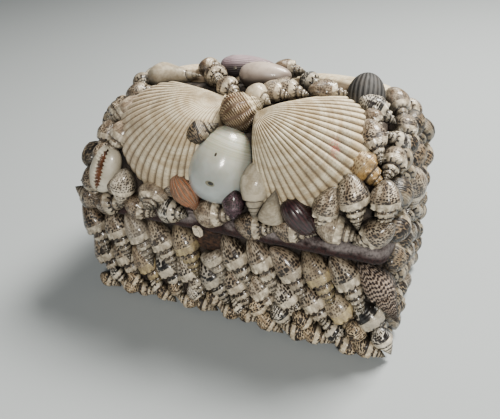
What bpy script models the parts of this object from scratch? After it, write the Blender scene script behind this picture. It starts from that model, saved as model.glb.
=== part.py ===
"""Shell box: a hollow velvet-covered box with an arched lift-off lid, both crusted with sea shells.

Frame: origin at the middle of the underside, +Z up, front wall towards -Y, +X to the right.
"""
import math

import bmesh
import bpy
from mathutils import Matrix, Vector

MM = 0.001
GAP = 0.3 * MM            # clearance between pieces that touch
FLAT_ENOUGH = math.radians(2)     # facets that meet at less than this are made one

# Overall size, over the shells
WIDTH = 134 * MM
DEPTH = 82 * MM
SEAM = 49 * MM            # height where the lid begins
LID_RIM = 10.5 * MM       # straight lower part of the lid
LID_RISE = 37 * MM        # arch above the rim

# Build-up of the walls, from outside to inside
SHELL_PROUD = 7.5 * MM    # how far the shells stand out of their glue
GLUE = 2.5 * MM
CARD = 3 * MM
VELVET_BAND = 6 * MM      # velvet edge left bare above the wall shells

BED_X = WIDTH / 2 - SHELL_PROUD
BED_Y = DEPTH / 2 - SHELL_PROUD
CARD_X = BED_X - GLUE - GAP
CARD_Y = BED_Y - GLUE - GAP
LAYOUT_MIDDLE = 2         # mm right of the box's middle, from where the shells of the lid are laid out
RIDGE_RADIUS = 28 * MM    # how tightly the slopes bend above their middle
SLOPE_RADIUS = 42 * MM    # and below it

# The lid's arch: across its depth and along its width
ARCH_POWER = 2.2
ARCH_ROUND = 0.7
END_DROP = 0.19
END_POWER = 10
END_ROUND = 0.6

# Rows of whelks round the lid's straight edge and on the side and back walls, in mm
LOWER_ROW_UP = 5.2        # the lid's lowest row above the seam
NEXT_ROW_UP = 9.3         # and the row above it
WALL_ROWS = 4
FIRST_ROW_UP = 6
WALL_ROW_PITCH = 10.2

# The front wall's two tiers, in mm and degrees: the whelks lean over more and more to the right
FRONT_COLUMNS = 12
BROKEN_COLUMN = 5         # its upper whelk has lost the body whorl
WHELK_WIDE = 11.5
TOPS_HIGHER = 2.2         # mm that the first whelk of the upper tier sits higher
TOPS_DROP = 0.5           # mm less for each whelk after it
UPPER_TIER = {"long": 27, "first_top": (-64, 43.5), "pitch": 10.8, "first_lean": -79, "more_lean": 1.4,
              "proud": 2.6, "tip_up": 6}
LOWER_TIER = {"long": 25.5, "first_tip": (-58, 2.8), "pitch": 11.2, "first_lean": -74, "more_lean": 1.4,
              "proud": 0.6, "tip_up": 4}


# ---------------------------------------------------------------- materials

def material(name, colour, roughness):
    """A plain Principled material."""
    made = bpy.data.materials.get(name)
    if made is None:
        made = bpy.data.materials.new(name)
        made.use_nodes = True
        shader = made.node_tree.nodes["Principled BSDF"]
        shader.inputs["Base Color"].default_value = (*colour, 1)
        shader.inputs["Roughness"].default_value = roughness
    return made


VELVET = ("velvet", (0.06, 0.022, 0.02), 0.95)
GLUE_LOOK = ("glue", (0.42, 0.37, 0.31), 0.8)
SPOTTED = ("spotted_shell", (0.52, 0.44, 0.35), 0.45)
PLAIN = ("cream_shell", (0.62, 0.55, 0.44), 0.4)
SCALLOP = ("scallop_shell", (0.62, 0.56, 0.45), 0.5)
MOON = ("moon_snail_shell", (0.66, 0.7, 0.68), 0.2)
AMBER = ("amber_shell", (0.58, 0.36, 0.15), 0.35)
ORANGE = ("orange_shell", (0.58, 0.28, 0.17), 0.45)
DARK = ("dark_shell", (0.07, 0.03, 0.03), 0.4)
STRIPED = ("striped_shell", (0.2, 0.2, 0.19), 0.45)
LILAC = ("lilac_shell", (0.37, 0.27, 0.36), 0.45)
TAUPE = ("taupe_shell", (0.4, 0.33, 0.28), 0.3)


# ---------------------------------------------------------------- the lid's arch and the places on it

def arch_height(x, y, inset):
    """Height of the lid's arch at (x, y), for a skin lying inset inside the crests of the shells."""
    u = min(abs(x) / (WIDTH / 2 - inset), 1)
    v = min(abs(y) / (DEPTH / 2 - inset), 1)
    across = (1 - v ** ARCH_POWER) ** ARCH_ROUND
    along = (1 - END_DROP * u * u) * (1 - u ** END_POWER) ** END_ROUND
    return SEAM + LID_RIM + (LID_RISE - inset) * across * along


def frame_of(point, right, normal):
    """Matrix whose X runs right, whose Z is the outward normal, at point."""
    up = normal.cross(right).normalized()
    right = up.cross(normal).normalized()
    turn = Matrix((right, up, normal.normalized())).transposed().to_4x4()
    return Matrix.Translation(point) @ turn


def arch_place(across_mm, swing):
    """A place on the lid's glue: mm to the right of the layout's middle, and degrees up from the front rim."""
    x = (across_mm + LAYOUT_MIDDLE) * MM
    reach = math.cos(math.radians(swing))
    y = -math.copysign(abs(reach) ** (2 / ARCH_POWER), reach) * BED_Y
    step = 0.5 * MM
    slope_x = arch_height(x + step, y, SHELL_PROUD) - arch_height(x - step, y, SHELL_PROUD)
    slope_y = arch_height(x, y + step, SHELL_PROUD) - arch_height(x, y - step, SHELL_PROUD)
    normal = Vector((-slope_x, -slope_y, 2 * step)).normalized()
    point = Vector((x, y, arch_height(x, y, SHELL_PROUD)))
    return frame_of(point, Vector((1, 0, 0)), normal)


def wall_place(side, along_mm, height_mm):
    """A place on a wall's glue, seen from outside: mm to the right of its middle, and mm above the table."""
    turn = Matrix.Rotation(math.radians({"front": 0, "right": 90, "back": 180, "left": 270}[side]), 4, "Z")
    reach = BED_X if side in ("left", "right") else BED_Y
    place = frame_of(Vector((along_mm * MM, -reach, height_mm * MM)), Vector((1, 0, 0)), Vector((0, -1, 0)))
    return turn @ place


def seated(place, heading, proud=2.0, tip_up=0.0):
    """A shell's own frame: its point heads that many degrees anticlockwise from the right."""
    turn = Matrix.Rotation(math.radians(heading), 4, "Z")
    lift = Matrix.Translation((0, 0, proud * MM))
    tilt = Matrix.Rotation(math.radians(-tip_up), 4, "Y")
    return place @ lift @ turn @ tilt


# ---------------------------------------------------------------- shell forms, lying along +X

def turned(profile, sides, at):
    """A closed body turned about X from (x, radius) points whose ends lie on the axis."""
    body = bmesh.new()
    points = [body.verts.new((x, 0, radius)) for x, radius in profile]
    edges = [body.edges.new(pair) for pair in zip(points, points[1:])]
    bmesh.ops.spin(body, geom=points + edges, axis=(1, 0, 0), cent=(0, 0, 0), angle=math.tau, steps=sides,
                   use_merge=True)
    bmesh.ops.remove_doubles(body, verts=body.verts, dist=0.001 * MM)
    bmesh.ops.recalc_face_normals(body, faces=body.faces)
    body.transform(at)
    return body


def whelk(at, length, width, whorls=2, sides=5, grow=0.0):
    """Spindle whelk: blunt canal, swollen body whorl, and a stepped spire running to the point."""
    long = length * MM
    radius = width * MM / 2
    profile = [(-0.5 * long, 0), (-0.5 * long, 0.42 * radius), (-0.16 * long, radius)]
    start = 0.03 * long
    spire = 0.5 * long - start
    for whorl in range(whorls):
        part = whorl / whorls
        taper = (1 - part) ** 0.8 * radius
        profile.append((start + spire * part, 0.8 * taper))
        profile.append((start + spire * (part + 0.14), 0.88 * taper))
    profile.append((0.5 * long, 0))
    return turned(grown(profile, grow), sides, at)


def grown(profile, grow):
    """The profile moved outwards by grow: radii get larger and the two ends move apart."""
    if not grow:
        return profile
    last = len(profile) - 1
    moved = []
    for index, (x, radius) in enumerate(profile):
        end = -grow if index < 2 else grow if index == last else 0
        moved.append((x + end, radius + grow if 0 < index < last else 0))
    return moved


def snail(at, length, width, sides=12, grow=0.0):
    """Globe-shaped moon snail: a swollen whorl with a low rounded spire."""
    long = length * MM
    radius = width * MM / 2
    rings = 6
    profile = [(-0.5 * long, 0)]
    for ring in range(1, rings):
        turn = math.pi * ring / rings
        profile.append((-0.5 * long * math.cos(turn) * (0.94 if ring > 3 else 1), radius * math.sin(turn) ** 0.85))
    profile.append((0.5 * long, 0))
    return turned(grown(profile, grow), sides, at)


def cowrie(at, length, width, grow=0.0):
    """Egg-shaped cowrie with its mouth, a long slit, facing out."""
    body = snail(Matrix.Identity(4), length, width, sides=10, grow=grow)
    if not grow:
        for vert in body.verts:
            if abs(vert.co.y) < 0.01 * MM and vert.co.z > 0.25 * width * MM:
                vert.co.z -= 1.6 * MM
    body.transform(at)
    return body


RIBS = 7
FAN_HALF = 52             # degrees either side of a scallop's axis


def scallop(at, heading, size, bulge, grow=0.0):
    """Ribbed fan spreading from its beak along the heading, bent to the arch below it."""
    body = bmesh.new()
    wide = size * MM + 2 * grow
    turn = math.radians(heading)
    under = -4 * MM - grow

    def corner(part, row, height):
        angle = math.radians(FAN_HALF) * part
        reach = wide * math.cos(angle) ** 0.8 * row
        x = reach * math.cos(angle) - wide / 2
        y = reach * math.sin(angle)
        up_slope = x * math.sin(turn) + y * math.cos(turn)
        radius = RIDGE_RADIUS if up_slope > 0 else SLOPE_RADIUS
        return body.verts.new((x, y, height - up_slope ** 2 / (2 * radius)))

    beak = corner(0, 0, bulge * MM * 0.5 + grow)
    heel = corner(0, 0, under)
    fan = []
    for column in range(2 * RIBS + 1):
        part = column / RIBS - 1
        side = 0.15 + 0.85 * (1 - abs(part) ** 2.6) ** 0.55
        rib = 0.6 * MM if column % 2 else 0
        fan.append([corner(part, row, crown * bulge * MM * side + rib * row + grow)
                    for row, crown in ((0.3, 1.0), (0.72, 0.8), (1.0, 0.0))])
        fan[-1].append(corner(part, 1.0, under))
    for left, right in zip(fan, fan[1:]):
        body.faces.new((beak, left[0], right[0]))
        body.faces.new((heel, right[-1], left[-1]))
        for row in range(3):
            body.faces.new((left[row], left[row + 1], right[row + 1]))
            body.faces.new((left[row], right[row + 1], right[row]))
    for edge in (fan[0], fan[-1]):
        body.faces.new((beak, heel, edge[3]))
        body.faces.new((beak, edge[3], edge[0]))
        body.faces.new((edge[0], edge[3], edge[2]))
        body.faces.new((edge[0], edge[2], edge[1]))
    bmesh.ops.recalc_face_normals(body, faces=body.faces)
    body.transform(at @ Matrix.Rotation(turn, 4, "Z"))
    return body


def strung(places, radii, sides=4, grow=0.0):
    """Shells fused end to end: one closed body swelling and narrowing along a line of places."""
    body = bmesh.new()
    centres = [place.translation.copy() for place in places]
    rings = []
    for index, (place, radius) in enumerate(zip(places, radii)):
        last = index == len(places) - 1
        ahead = centres[index if last else index + 1] - centres[index - 1 if index else 0]
        ahead.normalize()
        out = place.to_3x3() @ Vector((0, 0, 1))
        aside = ahead.cross(out).normalized()
        end = -grow if index == 0 else grow if last else 0
        ring = []
        for side in range(sides):
            turn = math.tau * side / sides
            spoke = aside * math.cos(turn) + out * math.sin(turn)
            ring.append(body.verts.new(centres[index] + ahead * end + spoke * (radius + grow)))
        rings.append(ring)
    for one, other in zip(rings, rings[1:]):
        for corner in range(sides):
            after = (corner + 1) % sides
            body.faces.new((one[corner], one[after], other[after]))
            body.faces.new((one[corner], other[after], other[corner]))
    body.faces.new(rings[0])
    body.faces.new(rings[-1])
    bmesh.ops.recalc_face_normals(body, faces=body.faces)
    return body


# Along each whelk of a string: (part of its length, share of its full width)
CANAL = (0.04, 0.55)
SWELLING = (0.4, 1.0)
LAST_POINT = 0.3          # share of the width at the last whelk's point


def string_maker(place_at, count, width):
    """A maker of count small whelks end to end; place_at gives the place at a fraction of the way."""
    places, radii = [], []
    for index in range(count):
        for part, share in (CANAL, SWELLING):
            places.append(place_at((index + part) / count))
            radii.append(share * width * MM / 2)
    places.append(place_at(1))
    radii.append(LAST_POINT * width * MM / 2)
    return lambda grow: strung(places, radii, grow=grow)


# ---------------------------------------------------------------- joining and fitting pieces

def loose(name, body):
    """An object made from a bmesh, which is freed."""
    mesh = bpy.data.meshes.new(name)
    body.to_mesh(mesh)
    body.free()
    thing = bpy.data.objects.new(name, mesh)
    bpy.context.collection.objects.link(thing)
    return thing


def boolean(thing, others, operation):
    """Joins the others to thing, or cuts them out of it, and removes them."""
    if not others:
        return
    group = bpy.data.collections.new("operands")
    bpy.context.scene.collection.children.link(group)
    for other in others:
        group.objects.link(other)
    modifier = thing.modifiers.new(operation, "BOOLEAN")
    modifier.operation = operation
    modifier.solver = "EXACT"
    modifier.operand_type = "COLLECTION"
    modifier.collection = group
    depsgraph = bpy.context.evaluated_depsgraph_get()
    mesh = bpy.data.meshes.new_from_object(thing.evaluated_get(depsgraph))
    thing.modifiers.clear()
    thing.data = mesh
    for other in others:
        bpy.data.objects.remove(other)
    bpy.data.collections.remove(group)


def keep_largest(thing):
    """Drops the crumbs that a cut leaves beside the main body."""
    body = bmesh.new()
    body.from_mesh(thing.data)
    bmesh.ops.dissolve_limit(body, angle_limit=FLAT_ENOUGH, verts=body.verts, edges=body.edges)
    bmesh.ops.triangulate(body, faces=body.faces)
    islands = []
    waiting = set(body.verts)
    while waiting:
        island = {waiting.pop()}
        edge = list(island)
        while edge:
            for link in edge.pop().link_edges:
                for vert in link.verts:
                    if vert in waiting:
                        waiting.discard(vert)
                        island.add(vert)
                        edge.append(vert)
        islands.append(island)
    islands.sort(key=len)
    for crumb in islands[:-1]:
        bmesh.ops.delete(body, geom=list(crumb), context="VERTS")
    body.to_mesh(thing.data)
    body.free()


def finish(thing, look):
    """Gives a piece its material and smooth shading with crisp edges."""
    thing.data.materials.clear()
    thing.data.materials.append(material(*look))
    thing.data.shade_smooth()
    thing.data.set_sharp_from_angle(angle=math.radians(50))


def reach_of(body):
    """Lowest and highest corners of a bmesh, which is freed."""
    corners = [vert.co.copy() for vert in body.verts]
    body.free()
    return [[pick(corner[axis] for corner in corners) for axis in range(3)] for pick in (min, max)]


def near(one, other):
    """Whether two boxes come within a gap of each other."""
    return all(one[0][axis] < other[1][axis] + GAP and other[0][axis] < one[1][axis] + GAP for axis in range(3))


settled = []              # (maker, box) of every shell already in place


def settle(name, makers, look):
    """One piece made of shells that touch, cut back where glue or an earlier shell is in the way."""
    boxes = [reach_of(maker(grow=0)) for maker in makers]
    shells = [loose(name, maker(grow=0)) for maker in makers]
    boolean(shells[0], shells[1:], "UNION")
    in_the_way = [other for other, box in settled if any(near(box, mine) for mine in boxes)]
    cutters = [loose("cutter", solid(GAP)) for solid in (box_bed, lid_bed)]
    cutters += [loose("cutter", other(grow=GAP)) for other in in_the_way]
    if min(box[0][2] for box in boxes) < 0:
        cutters.append(loose("cutter", table(0)))
    boolean(shells[0], cutters, "DIFFERENCE")
    keep_largest(shells[0])
    finish(shells[0], look)
    settled.extend(zip(makers, boxes))


# ---------------------------------------------------------------- the box and the lid

def stacked(loops, closed_by_last=False):
    """A closed body through rectangles (half width, half depth, height), capped at its first and last."""
    body = bmesh.new()
    rings = []
    for half_x, half_y, height in loops:
        corners = ((-half_x, -half_y), (half_x, -half_y), (half_x, half_y), (-half_x, half_y))
        rings.append([body.verts.new((x, y, height)) for x, y in corners])
    for low, high in zip(rings, rings[1:] + ([rings[0]] if closed_by_last else [])):
        for corner in range(4):
            after = (corner + 1) % 4
            body.faces.new((low[corner], low[after], high[after], high[corner]))
    if not closed_by_last:
        body.faces.new(rings[0])
        body.faces.new(rings[-1])
    bmesh.ops.recalc_face_normals(body, faces=body.faces)
    return body


def box_bed(grow):
    """The block taken up by the box and its glue."""
    return stacked([(BED_X + grow, BED_Y + grow, -5 * MM), (BED_X + grow, BED_Y + grow, SEAM + GAP)])


def table(_):
    """The block below the surface that the box stands on."""
    return stacked([(WIDTH, DEPTH, -20 * MM), (WIDTH, DEPTH, 0)])


def arch_grid(body, inset, base, across=6, deep=8):
    """Adds the arched skin lying inset inside the crests, and its skirt down to base; returns its border."""
    half_x = WIDTH / 2 - inset
    half_y = DEPTH / 2 - inset
    rows = []
    for i in range(across + 1):
        x = half_x * math.sin(math.pi * (i / across - 0.5))
        row = []
        for j in range(deep + 1):
            y = half_y * math.sin(math.pi * (j / deep - 0.5))
            row.append(body.verts.new((x, y, arch_height(x, y, inset))))
        rows.append(row)
    for left, right in zip(rows, rows[1:]):
        for a, b, c, d in zip(left, right, right[1:], left[1:]):
            body.faces.new((a, b, c))
            body.faces.new((a, c, d))
    border = [row[0] for row in rows] + rows[-1][1:] + [row[-1] for row in rows[-2::-1]] + rows[0][-2:0:-1]
    skirt = [body.verts.new((vert.co.x, vert.co.y, base)) for vert in border]
    bridge(body, border, skirt)
    return skirt


def bridge(body, one, other):
    """Faces between two rings of as many points."""
    for index in range(len(one)):
        after = (index + 1) % len(one)
        body.faces.new((one[index], one[after], other[after], other[index]))


def arched_shell(outer, inner, base):
    """A closed arched skin between two insets, open below."""
    body = bmesh.new()
    bridge(body, arch_grid(body, outer, base), arch_grid(body, inner, base))
    bmesh.ops.recalc_face_normals(body, faces=body.faces)
    return body


def lid_bed(grow):
    """The block taken up by the lid and its glue."""
    body = bmesh.new()
    body.faces.new(arch_grid(body, SHELL_PROUD - grow, SEAM - GAP))
    bmesh.ops.recalc_face_normals(body, faces=body.faces)
    return body


def box_body():
    """Card box covered in velvet, its upper edge a rounded velvet band."""
    top = SEAM - GAP
    low = top - VELVET_BAND
    soft = 0.8 * MM
    inner = (CARD_X - CARD, CARD_Y - CARD)
    return stacked([(CARD_X, CARD_Y, 0), (CARD_X, CARD_Y, low), (BED_X - soft, BED_Y - soft, low + soft / 2),
                    (BED_X, BED_Y, low + 2 * soft), (BED_X, BED_Y, top - 2 * soft),
                    (BED_X - soft, BED_Y - soft, top - soft / 2), (CARD_X, CARD_Y, top), (*inner, top),
                    (*inner, CARD)])


def box_glue():
    """Glue spread round the four walls, below the velvet band."""
    top = SEAM - 2 * GAP - VELVET_BAND
    base = GAP
    inner = (CARD_X + GAP, CARD_Y + GAP)
    return stacked([(BED_X, BED_Y, base), (BED_X, BED_Y, top), (*inner, top), (*inner, base)],
                   closed_by_last=True)


# ---------------------------------------------------------------- the shells and where they sit

def maker_of(form, place, *sizes, **choices):
    """A function that makes one shell in its place, at its size or grown a little."""
    return lambda grow: form(place, *sizes, grow=grow, **choices)


def on_arch(across, swing, heading, proud=2.0, tip_up=0.0):
    """A shell's frame on the lid's arch."""
    return seated(arch_place(across, swing), heading, proud, tip_up)


def on_wall(side, along, height, heading, proud=2.0, tip_up=0.0):
    """A shell's frame on a wall of the box or on the straight lower part of the lid."""
    return seated(wall_place(side, along, height), heading, proud, tip_up)


def lid_feature_shells():
    """The shells of the lid that stand out one by one, each cut back where an earlier one is in its way."""
    settle("moon_snail", [maker_of(snail, on_arch(-2.3, 28.5, 76, 1.6), 28, 22)], MOON)
    settle("turban", [maker_of(whelk, on_arch(2.8, 58, 38, 4.6), 17, 14.5)], SPOTTED)
    settle("money_cowrie", [maker_of(cowrie, on_arch(-52.5, 13, 68, 3), 19, 12.8)], PLAIN)
    settle("orange_whelk", [maker_of(whelk, on_wall("front", -12.5, 60, 298, 4), 17, 10.5)], ORANGE)
    settle("plain_whelk", [maker_of(whelk, on_arch(12.5, 15, 269, 3.4), 21, 11)], PLAIN)
    settle("cream_cone", [maker_of(whelk, on_wall("front", 22, 61.5, 79, 4.7), 14, 9)], PLAIN)
    settle("maroon_shell", [maker_of(snail, on_wall("front", 31.5, 59, 308, 4.2), 15, 10, sides=8)], DARK)
    settle("nodular_whelk", [maker_of(whelk, on_wall("front", 40.4, 63.2, 252, 4.4, 6), 18, 9.4)], SPOTTED)
    settle("spotted_whelk", [maker_of(whelk, on_wall("front", 49.5, 66.7, 283, 2.8, 10), 19, 10.8)], SPOTTED)
    settle("amber_whelk", [maker_of(whelk, on_arch(48, 42, 323, 3), 17.5, 11.5)], AMBER)
    settle("striped_nerite", [maker_of(snail, on_arch(41, 89.5, 108, 3.4, 36), 15.5, 13.4, sides=10)], STRIPED)
    settle("big_conch", [maker_of(whelk, on_arch(-34.5, 87, 357, 4), 25, 10.5)], PLAIN)
    settle("taupe_cowrie", [maker_of(snail, on_arch(3.8, 89, 10, 4.4), 19.5, 10, sides=8)], TAUPE)
    settle("lilac_shell", [maker_of(snail, on_arch(-7, 100, 14, 4.6), 20, 7.6, sides=8)], LILAC)


def wall_string(side, start, stop, height, count, width, proud=2.0):
    """Whelks end to end along a wall, from start to stop mm, seen from outside."""
    return string_maker(lambda part: on_wall(side, start + (stop - start) * part, height, 0, proud), count, width)


def arch_string(points, count, width, proud=2.0):
    """Whelks end to end over the arch, through evenly spaced (across, swing) points."""
    def place_at(part):
        spot = min(part, 0.9999) * (len(points) - 1)
        low, rest = int(spot), spot % 1
        (x0, s0), (x1, s1) = points[low], points[low + 1]
        return on_arch(x0 + (x1 - x0) * rest, s0 + (s1 - s0) * rest, 0, proud)
    return string_maker(place_at, count, width)


def lid_borders():
    """The bands of small shells round the scallops and along the ridge."""
    bands = (("lid_front_left_band", [(-43, 9), (-24, 10)], 2, 11),
             ("lid_right_band", [(52, 50), (51, 95), (50, 145)], 5, 11),
             ("lid_left_band", [(-52, 36), (-50, 90), (-52, 145)], 5, 12),
             ("lid_ridge_left_band", [(-24, 99), (-7, 74)], 2, 11),
             ("lid_ridge_right_band", [(11, 73), (37, 84)], 3, 9.5))
    for name, points, count, width in bands:
        settle(name, [arch_string(points, count, width)], SPOTTED)
    settle("corner_whelk", [maker_of(whelk, on_wall("front", 59.2, 66, 272, 0, 12), 16.5, 10.4)], SPOTTED)


def lid_sides():
    """Round the lid's lower edge a row of whelks laid lengthwise; on the ends and the back more above it."""
    level = SEAM / MM + LOWER_ROW_UP
    upper = level + NEXT_ROW_UP
    settle("lid_front_lower_row", [wall_string("front", -64, 64, level - 1, 8, 10.5)], SPOTTED)
    for side in ("right", "left"):
        makers = [wall_string(side, -34, 39, level, 4, 12), wall_string(side, -34, 34, upper, 4, 13, 0.8)]
        settle("lid_" + side + "_end_shells", makers, SPOTTED)
    makers = [wall_string("back", -64, 64, level, 6, 12), wall_string("back", -57, 57, upper, 5, 12.5, -0.5)]
    settle("lid_back_shells", makers, SPOTTED)


def scallops():
    """Four ribbed scallops fanning out from the middle of the lid to its corners."""
    settle("scallop_front_left", [maker_of(scallop, on_arch(-24, 47, 0, 1), 219, 47, 10.5)], SCALLOP)
    settle("scallop_front_right", [maker_of(scallop, on_arch(27, 47, 0, 1), -25, 45, 10.5)], SCALLOP)
    settle("scallop_back_right", [maker_of(scallop, on_arch(27, 133, 0, 1), 30, 46, 4.5)], SCALLOP)
    settle("scallop_back_left", [maker_of(scallop, on_arch(-25, 133, 0, 1), 150, 46, 5.5)], SCALLOP)


def tier_place(tier, column, size):
    """The place of a whelk in a tier of the front wall; a broken one keeps its point where it was."""
    heading = tier["first_lean"] + tier["more_lean"] * column
    lean = math.radians(heading)
    if "first_top" in tier:
        along, height = tier["first_top"]
        height += max(0, TOPS_HIGHER - TOPS_DROP * column)
        reach = tier["long"] - size / 2
    else:
        along, height = tier["first_tip"]
        reach = -size / 2
    along += tier["pitch"] * column
    return on_wall("front", along + reach * math.cos(lean), height + reach * math.sin(lean), heading,
                   tier["proud"], tier["tip_up"])


def front_wall():
    """Two tiers of slanted whelks, points down to the right; the sixth of the upper tier is a broken spire."""
    for label, tier in (("upper", UPPER_TIER), ("lower", LOWER_TIER)):
        for column in range(FRONT_COLUMNS):
            broken = label == "upper" and column == BROKEN_COLUMN
            size = tier["long"] * (0.6 if broken else 1)
            width = WHELK_WIDE * (0.8 if broken else 1)
            place = tier_place(tier, column, size)
            settle("front_%s_whelk_%02d" % (label, column + 1), [maker_of(whelk, place, size, width)], SPOTTED)


def other_walls():
    """Plainer walls: four rows of whelks laid along each."""
    heights = [FIRST_ROW_UP + WALL_ROW_PITCH * row for row in range(WALL_ROWS)]
    for side, start, stop, count in (("right", -32, 39, 4), ("left", -39, 32, 4), ("back", -59, 59, 5)):
        makers = [wall_string(side, start, stop, height, count, 12.4, 1.5) for height in heights]
        settle(side + "_wall_whelks", makers, SPOTTED)


def front_edge():
    """A row of small whelks along the foot of the front wall."""
    settle("front_edge_shells", [wall_string("front", -63, 63, 3.9, 7, 7.8, 3.2)], SPOTTED)


def build():
    """The whole shell box."""
    for thing in list(bpy.data.objects):
        bpy.data.objects.remove(thing)
    finish(loose("box_body", box_body()), VELVET)
    finish(loose("box_glue", box_glue()), GLUE_LOOK)
    outer = SHELL_PROUD + GLUE    # inset of the lid's card
    finish(loose("lid_body", arched_shell(outer + GAP, outer + GAP + CARD, SEAM)), VELVET)
    finish(loose("lid_glue", arched_shell(SHELL_PROUD, outer, SEAM + GAP)), GLUE_LOOK)
    lid_feature_shells()
    lid_borders()
    lid_sides()
    scallops()
    front_wall()
    front_edge()
    other_walls()


build()
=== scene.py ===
"""Shell box: a velvet-covered card box with an arched lift-off lid, crusted all over with sea shells set in glue."""
import math

import bmesh
import bpy
import numpy as np
from mathutils import Matrix, Vector


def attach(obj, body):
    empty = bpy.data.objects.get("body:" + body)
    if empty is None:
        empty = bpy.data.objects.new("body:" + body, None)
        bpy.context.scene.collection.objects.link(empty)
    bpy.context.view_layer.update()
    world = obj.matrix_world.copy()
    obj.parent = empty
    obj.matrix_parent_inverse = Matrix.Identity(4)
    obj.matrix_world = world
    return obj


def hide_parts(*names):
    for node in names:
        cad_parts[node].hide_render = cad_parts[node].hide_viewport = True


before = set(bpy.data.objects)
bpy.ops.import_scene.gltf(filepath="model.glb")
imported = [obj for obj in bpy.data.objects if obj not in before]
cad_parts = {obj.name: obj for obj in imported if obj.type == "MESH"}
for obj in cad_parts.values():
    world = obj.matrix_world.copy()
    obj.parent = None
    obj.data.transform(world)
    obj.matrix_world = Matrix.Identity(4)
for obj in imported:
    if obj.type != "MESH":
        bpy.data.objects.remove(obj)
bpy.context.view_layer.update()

# ================================================================ view
# The camera stands in front of the right-hand corner, a little over twice the box's width away,
# and looks down on the lid. It is tipped a few degrees to one side, as a hand-held camera is.

EYE = Vector((0.0831, -0.1808, 0.1615))
LENS = 38.5
LOOK_DOWN = math.radians(33.03)
LOOK_ROUND = math.radians(26.2)
TIPPED = math.radians(-4.97)

level = Vector((-math.sin(LOOK_ROUND), math.cos(LOOK_ROUND), 0))
ahead = math.cos(LOOK_DOWN) * level - math.sin(LOOK_DOWN) * Vector((0, 0, 1))
right = Vector((math.cos(LOOK_ROUND), math.sin(LOOK_ROUND), 0))
above = right.cross(ahead)
tipped_right = math.cos(TIPPED) * right + math.sin(TIPPED) * above
tipped_above = -math.sin(TIPPED) * right + math.cos(TIPPED) * above

camera = bpy.data.objects.new("camera", bpy.data.cameras.new("camera"))
camera.data.lens = LENS
camera.data.sensor_width = 36
camera.data.clip_start = 0.01
turn = Matrix((tipped_right, tipped_above, -ahead)).transposed().to_4x4()
camera.matrix_world = Matrix.Translation(EYE) @ turn
bpy.context.scene.collection.objects.link(camera)
bpy.context.scene.camera = camera

# ================================================================ floor and light
# A pale matt floor, a big soft light behind the right shoulder of the box, a weaker one
# from the front right and an even, slightly cool daylight all round.

MM = 0.001


class Nodes:
    """A shader node tree written as calls: each call makes one node and gives its result."""

    def __init__(self, tree):
        self.tree = tree

    def feed(self, socket, value):
        """Links another node's result to the socket, or sets the socket's own value."""
        if isinstance(value, bpy.types.NodeSocket):
            self.tree.links.new(value, socket)
        else:
            socket.default_value = value

    def node(self, kind, **values):
        """A node; each value goes to its input of that name, or else is a setting of the node."""
        made = self.tree.nodes.new("ShaderNode" + kind)
        for name, value in values.items():
            socket = made.inputs.get(name.replace("_", " "))
            if socket is None:
                setattr(made, name, value)
            else:
                self.feed(socket, value)
        return made

    def math(self, operation, *values):
        made = self.node("Math", operation=operation)
        for socket, value in zip(made.inputs, values):
            self.feed(socket, value)
        return made.outputs[0]

    def times(self, result, *values):
        for value in values:
            result = self.math("MULTIPLY", result, value)
        return result

    def plus(self, result, *values):
        for value in values:
            result = self.math("ADD", result, value)
        return result

    def mix(self, share, one, other, blend="MIX"):
        """The colour between one and other."""
        made = self.node("Mix", data_type="RGBA", blend_type=blend)
        for index, value in ((0, share), (6, one), (7, other)):
            self.feed(made.inputs[index], value)
        return made.outputs[2]

    def ease(self, value, low, high, to_low=0.0, to_high=1.0):
        """Goes smoothly from to_low to to_high while the value goes from low to high."""
        return self.node("MapRange", interpolation_type="SMOOTHSTEP", Value=value, From_Min=low, From_Max=high,
                         To_Min=to_low, To_Max=to_high).outputs[0]

    def noise(self, where, scale, detail=3.0, roughness=0.55):
        return self.node("TexNoise", Vector=where, Scale=scale, Detail=detail, Roughness=roughness).outputs["Fac"]

    def split(self, vector):
        return self.node("SeparateXYZ", Vector=vector).outputs[:]

    def stretch(self, vector, *by):
        made = self.node("VectorMath", operation="MULTIPLY", Vector=vector)
        made.inputs[1].default_value = by
        return made.outputs[0]

    def use(self, group, **values):
        """The results of a node group placed here."""
        placed = self.node("Group", node_tree=group.tree)
        for name, value in values.items():
            self.feed(placed.inputs[name], value)
        return placed.outputs


class Look(Nodes):
    """The nodes of a material, with its shader's inputs and the Object coordinates."""

    def __init__(self, name):
        self.material = bpy.data.materials.new(name)
        self.material.use_nodes = True
        super().__init__(self.material.node_tree)
        self.shader = self.tree.nodes["Principled BSDF"].inputs
        self.where = self.node("TexCoord").outputs["Object"]

    def finish(self, colour, roughness, height=None, depth=1.0, strength=1.0, **values):
        """The material, once its shader has a colour, a roughness, bumps depth mm deep and other values."""
        if height is not None:
            values["Normal"] = self.node("Bump", Strength=strength, Distance=depth * MM, Height=height).outputs[0]
        for name, value in {"Base_Color": colour, "Roughness": roughness, **values}.items():
            self.feed(self.shader[name.replace("_", " ")], value)
        return self.material


bpy.ops.object.select_all(action="DESELECT")
bpy.ops.mesh.primitive_grid_add(x_subdivisions=8, y_subdivisions=8, size=6)
floor = bpy.context.object
floor.name = "floor"
floor.data.materials.append(Look("pale_floor").finish((0.36, 0.395, 0.415, 1), 0.95))

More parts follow.
